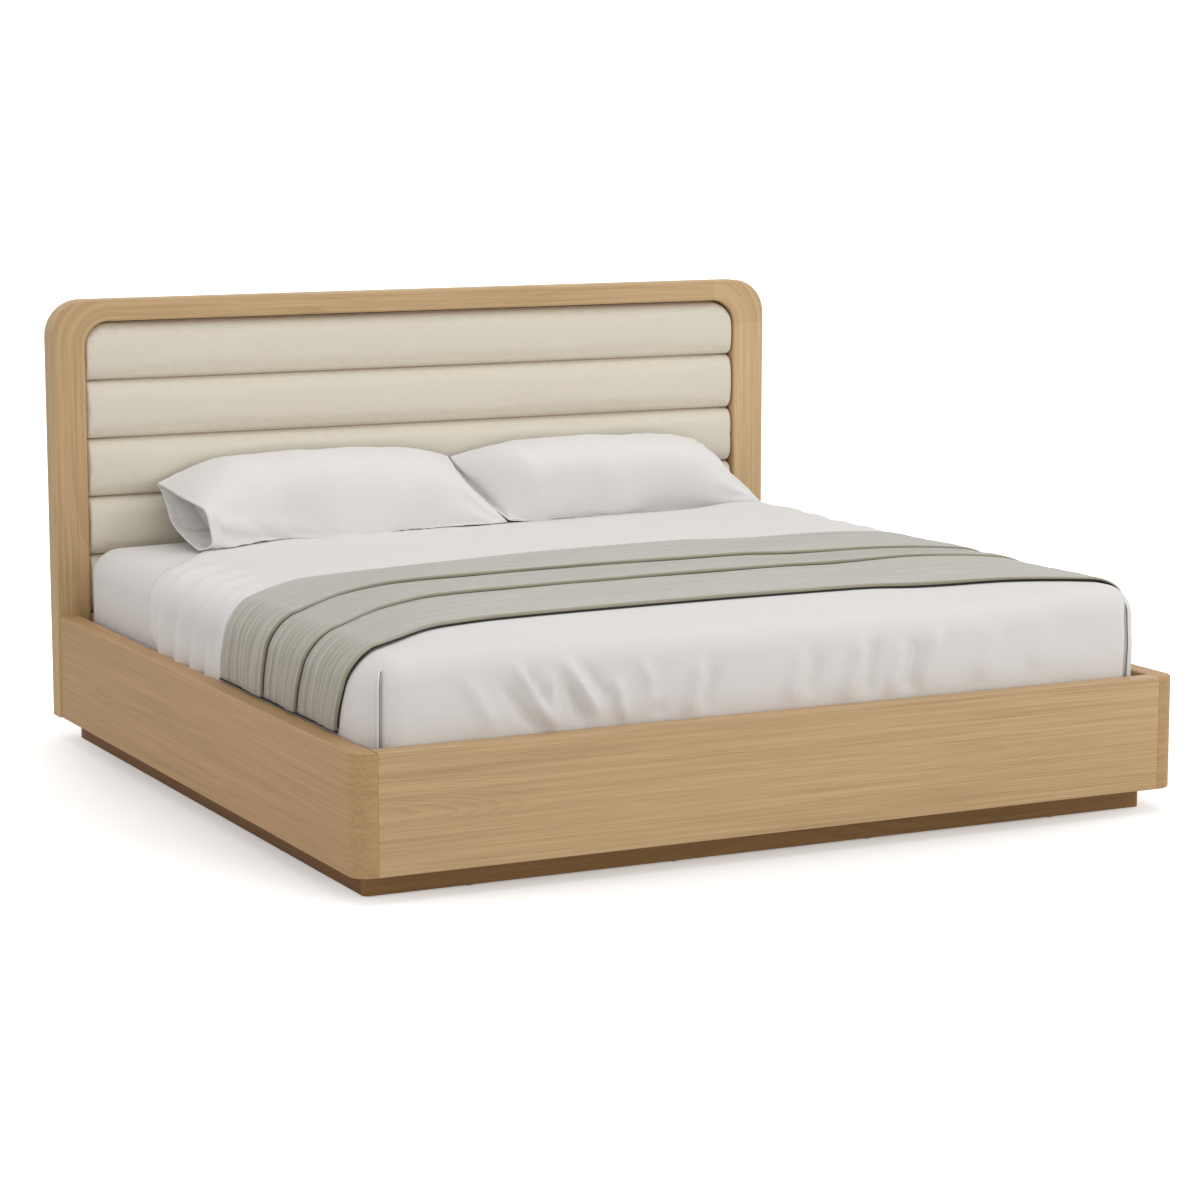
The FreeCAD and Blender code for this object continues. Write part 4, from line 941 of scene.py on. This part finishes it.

# %% [markdown]
# ## One lap of the throw
#
# A lap is a strip of cloth from one edge to the next. Its row of steps says how far along it is, how far it
# is shifted and how high it stands: flat at the back, rising slowly, then round the fold and back
# underneath. Fine streaks of thread and a slow unevenness lie over it. The line under each fold and along
# each hem is kept for later, where a near-black cord is laid as a painted shadow.


# %% Throw laps
def lap(back, front, fold, rest, hidden):
    """One lap: it starts flat (under the lap behind, if hidden) and ends in a rounded fold at the front."""
    fine = 0.011
    run = np.linspace(-throw_reach, throw_reach, int(2 * throw_reach / fine))
    yb, yf = lap_edge(back, run), lap_edge(front, run)
    steps = [(0.0, 0.05, 0.001), (0.0, 0.025, 0.0014)] if hidden else [(0.0, 0.0, 0.0012)]
    long = 1.8 * fold
    for share in np.linspace(0, 1, 41)[1:-1]:
        roll = 0.6 * share ** 0.8 + 0.4 * float(smooth(np.array(share), 0.50, 0.95))
        steps.append((share, long * share, 0.0015 + (rest + 2 * fold - 0.0015) * roll))
    for angle in np.linspace(math.pi * 0.5, math.pi, 7):
        steps.append((1.0, long * (1 + math.cos(angle)), rest + fold + fold * math.sin(angle)))
    for angle in np.linspace(math.pi, math.pi * 1.5, 6)[1:]:
        steps.append((1.0, fold * (1 + math.cos(angle)), rest + fold + fold * math.sin(angle)))
    steps.append((1.0, fold + 0.04, rest - 0.0005))
    px, pz, nx, nz = over_the_bed(run)
    side = smooth(np.abs(run), 0.86, 1.08)
    rows, flats, along = [], [], 0.0
    for k, (share, shift, rise) in enumerate(steps):
        y = yb + (yf - yb) * share + shift
        middle = math.sin(math.pi * min(1.0, share)) ** 0.5 if share < 1.0 else 0.0
        streak = 0.5 * np.sin(share * 61 + 4 * run + fold * 500) + 0.6 * np.sin(share * 27 + 1.3 - 2 * run)
        streak = streak + 0.35 * np.sin(share * 96 + 5 * run)
        uneven = 0.0014 * np.sin(run * 9 + share * 5 + fold * 900) + 0.0009 * np.sin(run * 21 + share * 9)
        rise = rise + middle * ((0.0008 + 0.0012 * side) * streak + uneven)
        rise = np.maximum(rise * settled(run), 0.0008)
        rows.append(np.stack([px + nx * rise, y, pz + nz * rise], -1))
        if k:
            along += abs(steps[k][1] - steps[k - 1][1]) + 0.3 * abs(share - steps[k - 1][0])
        flats.append(np.stack([run, np.full_like(run, along)], -1))
    return np.stack(rows)[:, ::-1], np.stack(flats)[:, ::-1]


def under_fold(front):
    """The line where the underside of a fold meets what it lies on."""
    run = np.linspace(-1.16, 1.16, 240)
    px, pz, nx, nz = over_the_bed(run)
    rise = 0.0024 * settled(run)
    return np.stack([px + nx * rise, lap_edge(front, run) - 0.0004, pz + nz * rise], -1)


def under_hem(sign):
    """The line just below the hem on one side of the bed, left (-1) or right (1)."""
    px, pz, nx, _ = over_the_bed(np.array(sign * (throw_reach + 0.004)))
    y = np.linspace(*(lap_edge(key, sign * throw_reach) for key in ("back", "front")), 60)
    return np.stack([np.full(60, px + nx * 0.0042), y, np.full(60, pz)], -1)


folds = (("back", "second", 0.0021, 0.0060, False), ("second", "third", 0.0021, 0.0060, True),
         ("third", "front", 0.0026, 0.0050, True))
throw = Cloth(*(lap(*fold) for fold in folds))
painted_shadow_lines = [under_fold(fold[1]) for fold in folds] + [under_hem(sign) for sign in (-1, 1)]
throw_piece = throw.piece("linen_throw", throw_cloth, 0.0022)
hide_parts("throw")
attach(throw_piece, "throw")
print("throw:", len(throw_piece.data.polygons), "faces")

# %% [markdown]
# ## Pillows and their cases
#
# A bed pillow is two panels sewn round the edge and filled, so its section is a lens and its ends close to
# a seam with rounded corners. It leans on the headboard. The case is a bag a little longer than the pillow:
# at one end it is open, with a hemmed mouth. The left one stands ajar and shows the pillow inside; the
# right one has fallen shut. Each is drawn here as a row of cross-section loops from end to end, through
# places measured on the bed.


# %% Pillow shape
def closed_outline(first_half, second_half, w, soften=0.03):
    """A closed line through measured corners, softened; its two halves are sampled at the shares w."""
    corners = np.array(first_half + second_half[1:])
    length = np.concatenate([[0], np.cumsum(np.linalg.norm(np.diff(corners, axis=0), axis=1))])
    fine = np.linspace(0, length[-1], 901)[:-1]
    line = np.stack([np.interp(fine, length, corners[:, k]) for k in range(3)], 1)
    reach = int(450 * soften)
    kernel = np.hanning(2 * reach + 3)[1:-1]
    padded = np.concatenate([line[-reach:], line, line[:reach]])
    line = np.stack([np.convolve(padded[:, k], kernel / kernel.sum(), mode="valid") for k in range(3)], 1)
    line, fine = np.concatenate([line, line[:1]]), np.append(fine, length[-1])
    turn = length[len(first_half) - 1]
    wanted = np.concatenate([turn * w, turn + (length[-1] - turn) * w[1:]])
    return np.stack([np.interp(wanted, fine, line[:, k]) for k in range(3)], 1)


def pillow_loops(ends, front, back, full, belly, mouth, reach, stations=84, around=46):
    """Loops of a leaning pillow, and the same on flat cloth. ends = x at the (front, back) edge of each end;
    front, back = edge lines (shares, y, z); full, belly = swell above and below; reach = end of the mouth."""
    share = 0.5 - 0.5 * np.cos(math.pi * (0.08 + 0.92 * np.linspace(0, 1, stations + 1)))
    share = (share - share[0]) / (share[-1] - share[0])
    w = 0.5 - 0.5 * np.cos(math.pi * np.linspace(0, 1, around + 1))
    arch = np.power(np.sin(math.pi * w), 0.88 - 0.22 * w)
    lips = closed_outline(*mouth, w)
    loops, flats = [], []
    for s in share:
        thick = max(0.0, 1 - max(0.0, (s - 0.62) / 0.38) ** 2) ** 0.56
        f = np.array([swept(s, front[0], front[k]) for k in (1, 2)])
        b = np.array([swept(s, back[0], back[k]) for k in (1, 2)])
        chord = b - f
        up = np.array([-chord[1], chord[0]]) / np.linalg.norm(chord)
        left, right = (end[0] + (end[1] - end[0]) * w for end in ends)
        x = left + (right - left) * s - 0.016 * (max(0.0, s - 0.7) / 0.3) ** 2 * np.sin(math.pi * w)
        upper = np.column_stack([x, f + w[:, None] * chord + up * (full * thick * arch)[:, None]])
        lower = np.column_stack([x, f + w[:, None] * chord - up * (belly * thick * arch)[:, None]])
        near_mouth = 1 - smooth(np.array(s), 0.0, reach)
        loop = np.concatenate([upper, lower[::-1][1:]]) * (1 - near_mouth) + lips * near_mouth
        loops.append(loop)
        length = np.concatenate([[0], np.cumsum(np.linalg.norm(np.diff(loop[:, 1:], axis=0), axis=1))])
        along = ends[0][0] + (ends[1][0] - ends[0][0]) * s
        flats.append(np.column_stack([np.full(len(loop), along), length]))
    return np.stack(loops), np.stack(flats)


print("pillow shape ready")

# %% [markdown]
# ## Measured pillows
#
# Each pillow is described by a few measured places: the x of its ends, the line of its front edge on the
# bed, the line of its back edge on the headboard, and the outline of the case's mouth. Keeping them in one
# plan per pillow means that the case and the filling inside it are drawn from the same numbers.

# %% Pillow plans
flap, ear = (-0.783, 0.702, 0.533), (-0.797, 0.990, 0.684)
open_mouth = ([flap, (-0.762, 0.684, 0.540), (-0.750, 0.680, 0.552), (-0.756, 0.680, 0.590),
               (-0.764, 0.682, 0.632), (-0.768, 0.700, 0.645), (-0.780, 0.779, 0.659),
               (-0.790, 0.908, 0.675), ear],
              [ear, (-0.793, 0.966, 0.666), (-0.789, 0.945, 0.640), (-0.786, 0.915, 0.590),
               (-0.785, 0.870, 0.568), (-0.785, 0.800, 0.550), flap])
low_tip, high_tip = (0.181, 0.831, 0.541), (0.068, 0.990, 0.713)
shut_mouth = ([low_tip, (0.140, 0.886, 0.582), (0.088, 0.942, 0.646), high_tip],
              [high_tip, (0.108, 0.958, 0.634), (0.158, 0.905, 0.564), low_tip])
pillow_plans = {
    "left": dict(ends=((-0.783, -0.795), (0.171, 0.052)), full=0.119, belly=0.05, mouth=open_mouth,
                 reach=0.21,
                 front=([0, 0.1, 0.2, 0.29, 0.36, 0.44, 0.57, 0.71, 0.86, 1],
                        [0.702, 0.712, 0.752, 0.782, 0.768, 0.748, 0.768, 0.803, 0.822, 0.836],
                        [0.5355, 0.5355, 0.536, 0.539, 0.536, 0.5355, 0.537, 0.540, 0.537, 0.538]),
                 back=([0, 0.09, 0.19, 0.3, 0.6, 0.8, 0.94, 1],
                       [0.990, 0.987, 0.985, 0.985, 0.985, 0.985, 0.982, 0.978],
                       [0.684, 0.716, 0.742, 0.749, 0.751, 0.745, 0.730, 0.712])),
    "right": dict(ends=((0.181, 0.068), (0.958, 0.868)), full=0.127, belly=0.04, mouth=shut_mouth,
                  reach=0.13,
                  front=([0, 0.15, 0.3, 0.45, 0.6, 0.75, 0.88, 1],
                         [0.831, 0.838, 0.848, 0.838, 0.846, 0.826, 0.812, 0.795],
                         [0.5355, 0.5352, 0.5352, 0.536, 0.5352, 0.536, 0.541, 0.551]),
                  back=([0, 0.09, 0.24, 0.5, 0.79, 0.956, 1],
                        [0.990, 0.987, 0.985, 0.985, 0.985, 0.982, 0.978],
                        [0.713, 0.728, 0.748, 0.753, 0.748, 0.726, 0.705])),
}
print("pillow plans:", sorted(pillow_plans))

# %% [markdown]
# ## Case and filling
#
# The case is sewn from the loops, with a turned-in hem at its mouth, creased toward its corners and blown
# up with its seams held. The filling is the same pillow drawn thinner, closed at both ends, and set back
# inside the case. What would sink into the bed or the headboard is moved out again at the end.


# %% Pillows
def keep_clear(piece, lowest, furthest):
    """Keeps a pillow out of the bed below it and the headboard behind it."""
    for vertex in piece.data.vertices:
        vertex.co.z = max(vertex.co.z, lowest(vertex.co.x))
        vertex.co.y = min(vertex.co.y, furthest)


def pillow_creases(points, ends, seed):
    """Slow unevenness of the filling, and short creases that run in from the four corners."""
    total = ripple(points, 0.12, 0.34, seed) * 0.003 + ripple(points, 0.05, 0.11, seed + 1) * 0.0008
    for x, y, z in ((ends[0][0], 0.70, 0.54), (ends[0][1], 0.985, 0.69), (ends[1][0], 0.82, 0.55),
                    (ends[1][1], 0.985, 0.71)):
        away = points - np.array([x, y, z])
        distance = np.linalg.norm(away, axis=1)
        angle = np.arctan2(away[:, 1] + away[:, 2], np.abs(away[:, 0]))
        total = total + 0.003 * np.sin(angle * 13 + seed) * hump(distance, 0.10, 0.07)
    return total


def bed_surface(x):
    """Height of the bed under a pillow; it falls away toward the left edge."""
    return 0.5348 - 0.004 * float(smooth(-x, 0.70, 0.76))


pad_face, inside_bed, inside_pad = 1.004, 0.540, 0.998
for name, seed in (("left", 21), ("right", 31)):
    plan = pillow_plans[name]
    loops, flats = pillow_loops(**plan)
    x_left = plan["ends"][0][0]
    outer, middle = loops[0], loops[0].mean(0)
    toward = (middle - outer) / np.linalg.norm(middle - outer, axis=1, keepdims=True)
    thick_hem = 0.0032 if name == "left" else 0.0015
    hem_steps = ((2, 0.030, 0.040), (2, 0, 0.012), (1.6, -0.003, 0.008), (0.5, -0.0035, 0.004))
    rim = [outer + toward * thick_hem * deep + np.array([shift, 0, 0]) for deep, shift, _ in hem_steps]
    rim_flat = [flats[0] - np.array([back, 0]) for _, _, back in hem_steps]
    case = Cloth((np.concatenate([np.stack(rim), loops])[:, ::-1],
                  np.concatenate([np.stack(rim_flat), flats])[:, ::-1]))
    inside = np.clip((case.points[:, 0] - x_left - 0.02) / 0.08, 0, 1)
    case.push(inside * pillow_creases(case.points, plan["ends"], seed))
    grid = case.ids[0]
    half = (grid.shape[1] - 1) // 2
    held = np.concatenate([grid[:6].ravel(), grid[:, 0], grid[:, -1], grid[:, half], grid[-1]])
    case_piece = case.piece(f"pillowcase_{name}_cloth", case_cloth)
    moved = blow_up(case_piece, held, pressure=3.0, slack=0.018, cap=0.008)
    keep_clear(case_piece, bed_surface, pad_face)
    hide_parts(f"pillowcase_{name}")
    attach(case_piece, f"pillow_{name}")
    first = int(np.argmax(loops[:, half // 2, 0] > x_left + 0.045)) if name == "left" else 10
    lean = dict(plan, full=0.62 * plan["full"], belly=0.4 * plan["belly"])
    loops, flats = (rows[first:-12] for rows in pillow_loops(**lean))
    centre = loops.mean(1, keepdims=True)
    shrink = np.full((len(loops), 1, 1), 0.84)
    shrink[:3, 0, 0], shrink[-3:, 0, 0] = (0.60, 0.76, 0.82), (0.76, 0.60, 0.25)
    loops = centre + (loops - centre) * shrink
    caps = [np.repeat(centre[k:k + 1], loops.shape[1], axis=1) for k in (0, len(loops) - 1)]
    fill = Cloth((np.concatenate([caps[0], loops, caps[1]])[:, ::-1],
                  np.concatenate([flats[:1], flats, flats[-1:]])[:, ::-1]))
    fill_piece = fill.piece(f"pillow_{name}_filling", fill_cloth)
    keep_clear(fill_piece, lambda x: inside_bed, inside_pad)
    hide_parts(f"pillow_{name}")
    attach(fill_piece, f"pillow_{name}")
    print("pillow", name, "faces:", len(case_piece.data.polygons), "largest move:", round(moved, 4))

# %% [markdown]
# ## Piping, tape and stitches
#
# Seams repeat along a path, which is what Geometry Nodes is for. One tree sweeps a round cord along a line
# of points, for the piping at the coverlet's corners and the tape round the mattress. The other drops a
# short thread every few millimetres along a line, for the rows of stitching at the hems.


# %% Path trees
def path_tree(name, extra):
    """A tree that turns a line of points into a curve; extra lists its own inputs."""
    tree = bpy.data.node_groups.new(name, "GeometryNodeTree")
    tree.is_modifier = True
    for label, kind in [("Geometry", "Geometry"), *extra, ("Finish", "Material")]:
        tree.interface.new_socket(label, in_out="INPUT", socket_type="NodeSocket" + kind)
    tree.interface.new_socket("Geometry", in_out="OUTPUT", socket_type="NodeSocketGeometry")
    given, made = tree.nodes.new("NodeGroupInput").outputs, tree.nodes.new("NodeGroupOutput").inputs
    curve = add(tree, "GeometryNodeMeshToCurve", {"Mesh": given["Geometry"]}).outputs[0]
    return tree, given, made, curve


def dress(tree, given, made, last):
    """Ends a tree: real geometry with the finish that was handed in."""
    real = add(tree, "GeometryNodeRealizeInstances", {0: last.outputs[0]})
    dressed = add(tree, "GeometryNodeSetMaterial", {"Geometry": real.outputs[0], "Material": given["Finish"]})
    tree.links.new(dressed.outputs[0], made[0])
    return tree


def cord_tree():
    """Sweeps a round cord along the line."""
    tree, given, made, curve = path_tree("Cord along a line", [("Radius", "Float"), ("Step", "Float")])
    even = add(tree, "GeometryNodeResampleCurve", {"Curve": curve, "Length": given["Step"]}, mode="LENGTH")
    ring = add(tree, "GeometryNodeCurvePrimitiveCircle", {"Resolution": 8, "Radius": given["Radius"]},
               mode="RADIUS")
    swept_cord = add(tree, "GeometryNodeCurveToMesh", {"Curve": even.outputs[0], "Fill Caps": True,
                                                       "Profile Curve": ring.outputs[0]})
    return dress(tree, given, made, add(tree, "GeometryNodeSetShadeSmooth", {0: swept_cord.outputs[0]}))


thread_sides = 6


def stitch_tree():
    """Drops a short thread at even steps along the line."""
    tree, given, made, curve = path_tree("Stitches along a line",
                                         [("Spacing", "Float"), ("Length", "Float"), ("Thread", "Float")])
    spots = add(tree, "GeometryNodeCurveToPoints", {"Curve": curve, "Length": given["Spacing"]},
                mode="LENGTH").outputs
    thread = add(tree, "GeometryNodeMeshCylinder", {"Vertices": thread_sides, "Side Segments": 1,
                                                    "Radius": given["Thread"], "Depth": given["Length"]},
                 fill_type="TRIANGLE_FAN")
    row = add(tree, "GeometryNodeInstanceOnPoints", {"Points": spots["Points"], "Rotation": spots["Rotation"],
                                                     "Instance": thread.outputs["Mesh"]})
    return dress(tree, given, made, row)


cords, stitches = cord_tree(), stitch_tree()


def along_path(name, tree, lines, body, slot, **inputs):
    """A piece that a path tree makes along one or more lines of points."""
    points, edges = [], []
    for line in lines:
        first = len(points)
        points += [tuple(p) for p in line]
        edges += [(k, k + 1) for k in range(first, len(points) - 1)]
    guide_mesh = bpy.data.meshes.new(name + "_line")
    guide_mesh.from_pydata(points, edges, [])
    guide = bpy.data.objects.new(name + "_line", guide_mesh)
    bpy.context.scene.collection.objects.link(guide)
    modifier = guide.modifiers.new(tree.name, "NODES")
    modifier.node_group = tree
    for item in tree.interface.items_tree:
        if item.in_out == "INPUT" and item.name in inputs:
            modifier[item.identifier] = inputs[item.name]
    bpy.context.view_layer.update()
    made = bpy.data.meshes.new_from_object(guide.evaluated_get(bpy.context.evaluated_depsgraph_get()))
    bpy.data.objects.remove(guide)
    made.name = name
    piece = bpy.data.objects.new(name, made)
    bpy.context.scene.collection.objects.link(piece)
    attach(piece, body)
    return piece


print("path trees:", cords.name, "/", stitches.name)

# %% [markdown]
# ## Piping at the corners
#
# The boxed corners of the coverlet are finished with a cord sewn into the seam, and beside it a thin dark
# thread that is a painted shadow line. Both follow the column of the cloth's own grid that lies nearest the
# seam, so they sit in the dip that was made for them. The mattress has a tape along its two edges, and the
# throw a near-black cord under its folds and hems, a painted shadow.

# %% Piping and tape
cord_cotton = plain("cotton_cord", (0.82, 0.80, 0.78), 0.9, 0.0, 0.05, (500.0, 500.0, 500.0))
normals, hem_ids = cover.normals(), ring[-1]
corner_lines, seam_shadow_lines = [], []
for sign in (-1, 1):
    in_fan = [c for c, k in enumerate(hem_ids) if round_corner[k] and np.sign(flat[k, 0]) == sign]
    column = min(in_fan, key=lambda c: abs(turn[hem_ids[c]] - seam_turn[hem_ids[c]]))
    ids = ring[7:, column]
    depth = np.interp(np.arange(len(ids)), [0, 5], [-0.0045, 0.0022])
    corner_lines.append(cover.points[ids] + normals[ids] * depth[:, None])
    sideways = np.array([-sign * math.sin(seam_turn[ids[-1]]), -math.cos(seam_turn[ids[-1]]), 0])
    seam_shadow_lines.append(corner_lines[-1][2:] + sideways * 0.0042 - normals[ids[2:]] * 0.0012)
piping = along_path("coverlet_piping", cords, corner_lines, "mattress", "coverlet_cotton",
                    Radius=0.0034, Step=0.006, Finish=cord_cotton)
# The dark thread beside the piping is a painted shadow line along the seam.
seam_painted_shadow = plain("seam_painted_shadow_thread", (0.13, 0.12, 0.11), 0.95, 0.0, 0.1, (900.0, 900.0, 900.0))
seams = along_path("coverlet_seam_painted_shadow", cords, seam_shadow_lines, "mattress", "coverlet_cotton",
                   Radius=0.0011, Step=0.006, Finish=seam_painted_shadow)
tape = along_path("mattress_tape", cords, seam_lines, "mattress", "mattress_ticking",
                  Radius=0.0009, Step=0.015, Finish=cord_cotton)
# A near-black cord under each fold and along each hem of the throw: painted shadow for the dark gap beneath
# them.
painted_shadow_finish = plain("painted_shadow_cord", (0.030, 0.028, 0.024), 0.95, 0.0, 0.1, (900.0, 900.0, 900.0))
shadow_cords = along_path("throw_painted_shadow", cords, painted_shadow_lines, "throw", "throw_linen", Radius=0.0024, Step=0.012,
                    Finish=painted_shadow_finish)
print("faces:", {made.name: len(made.data.polygons) for made in (piping, seams, tape, shadow_cords)})

# %% [markdown]
# ## Stitches along the head border
#
# The coverlet's border at the head is hemmed with a row of small stitches, a little way in from the edge.
# The row follows the same grid points as the border, down the left side, across the top and down the right
# side.

# %% Rows of stitches
thread_cotton = plain("cotton_thread", (0.74, 0.72, 0.70), 0.85, 0.0, 0.05, (900.0, 900.0, 900.0))
head_row = cover.points[np.concatenate([ring[::-1, 0], cover.ids[0][:, -1], ring[:, -1]])]
head_row = head_row + np.array([0, -0.022, 0.0008])
hem_stitches = along_path("coverlet_stitches", stitches, [head_row], "mattress", "coverlet_cotton",
                          Spacing=0.006, Length=0.0036, Thread=0.0004, Finish=thread_cotton)
faces_each = 3 * thread_sides
print("stitches:", len(hem_stitches.data.polygons) // faces_each)

# %% [markdown]
# ## Slat straps
#
# Two cloth tapes run under each row of slats and hold them at their spacing. Each is a flat woven strip,
# drawn as a grid that dips a little between one slat and the next.

# %% Straps
tape_width, slat_pitch, dip = 0.025, 0.125, 0.0006
for side in ("left", "right"):
    name = f"slat_straps_{side}"
    low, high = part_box(name)
    strips = []
    for x1, x2 in ((low.x, low.x + tape_width), (high.x - tape_width, high.x)):
        x = np.linspace(x1, x2, 4)
        y = np.linspace(low.y, high.y, 160)
        xx, yy = np.meshgrid(x, y, indexing="ij")
        zz = np.full_like(xx, high.z - 0.0002) - dip * (1 - np.cos(yy * 2 * math.pi / slat_pitch)) * 0.5
        strips.append((np.stack([xx, yy, zz], -1), np.stack([xx, yy], -1)))
    strap = Cloth(*strips).piece(f"straps_{side}", webbing, 0.0012)
    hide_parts(name)
    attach(strap, "base")
print("straps:", round(high.y - low.y, 3), "long")

# %% [markdown]
# ## Floor
#
# The bed stands on a white studio floor that runs on into a white background. A plain white plane would end
# in a visible edge and turn grey away from the lamps, so it also glows a little where the camera sees it:
# hardly near the bed, where the soft shadow has to show, and fully further out.

# %% Floor
floor_mesh = bpy.data.meshes.new("studio_floor")
far = 40
floor_mesh.from_pydata([(-far, -far, 0), (far, -far, 0), (far, far, 0), (-far, far, 0)], [], [(0, 1, 2, 3)])
floor = bpy.data.objects.new("studio_floor", floor_mesh)
bpy.context.scene.collection.objects.link(floor)
floor_white, tree, shader = new_finish("floor_white")
plug(tree, shader, {"Base Color": (0.86, 0.855, 0.85, 1), "Roughness": 1.0, "Specular IOR Level": 0.0})
place = add(tree, "ShaderNodeTexCoord").outputs["Object"]
distance = add(tree, "ShaderNodeVectorMath", {0: place}, operation="LENGTH").outputs["Value"]
away = add(tree, "ShaderNodeMapRange", {"Value": distance, "From Min": 1.15, "From Max": 2.1,
                                        "To Min": 0.33, "To Max": 1.0}, interpolation_type="SMOOTHSTEP")
seen = add(tree, "ShaderNodeLightPath").outputs["Is Camera Ray"]
glow = add(tree, "ShaderNodeEmission", {"Color": (1, 1, 1, 1),
                                        "Strength": sums(tree, "MULTIPLY", seen, away.outputs[0])})
both = add(tree, "ShaderNodeAddShader", {0: shader.outputs[0], 1: glow.outputs[0]})
plug(tree, tree.nodes["Material Output"], {"Surface": both.outputs[0]})
floor.data.materials.append(floor_white)
print("floor:", 2 * far, "m square")

# %% [markdown]
# ## Light
#
# Soft light comes from everywhere, as in a white studio, with a broad lamp above, another in front to the
# right and a weak one at the left, so tops are brightest and the left side is in shade. What is seen
# directly is pure white; what lights the bed is a little less, or the shadows would wash out.

# %% Light
world = bpy.data.worlds.new("studio")
bpy.context.scene.world = world
world.use_nodes = True
tree = world.node_tree
seen = add(tree, "ShaderNodeLightPath").outputs
mirrored = sums(tree, "MAXIMUM", seen["Is Glossy Ray"], seen["Is Transmission Ray"])
direct = sums(tree, "MAXIMUM", seen["Is Camera Ray"], mirrored)
sky_light = 0.62
plug(tree, tree.nodes["Background"], {
    "Color": (1.0, 1.0, 1.0, 1), "Strength": sums(tree, "MULTIPLY_ADD", direct, 0.38, sky_light)})


def lamp(name, place, target, size, power):
    """A square soft lamp aimed at a point."""
    light = bpy.data.lights.new(name, "AREA")
    light.shape, light.size, light.energy = "SQUARE", size, power
    holder = bpy.data.objects.new(name, light)
    bpy.context.scene.collection.objects.link(holder)
    holder.location = place
    aim = np.array(target) - np.array(place)
    holder.rotation_euler = (math.acos(-aim[2] / np.linalg.norm(aim)), 0, math.atan2(-aim[0], aim[1]))


lamp("overhead", (0.3, -0.3, 4.6), (0, 0, 0.4), 4.0, 55)
lamp("front_right", (4.4, -5.9, 2.8), (0, -0.5, 0.4), 3.4, 100)
lamp("left_fill", (-6.0, -1.5, 2.2), (-0.5, 0, 0.4), 3.0, 16)

# %% [markdown]
# ## Camera
#
# The camera stands well back at the left of the foot, a little above the headboard, with a long lens. Its
# place was found from the lines of the bed that run together toward the horizon. The Standard view leaves
# the colours as the lights and finishes make them.

# %% Camera
camera = bpy.data.objects.new("camera", bpy.data.cameras.new("camera"))
bpy.context.scene.collection.objects.link(camera)
camera.location = (-3.7409, -7.5767, 1.7763)
camera.rotation_euler = (math.radians(81.056), 0, math.radians(-26.542))
camera.data.sensor_width, camera.data.lens = 36.0, 100.5
bpy.context.scene.camera = camera
bpy.context.scene.view_settings.view_transform = "Standard"
print("camera lens:", camera.data.lens, "mm")
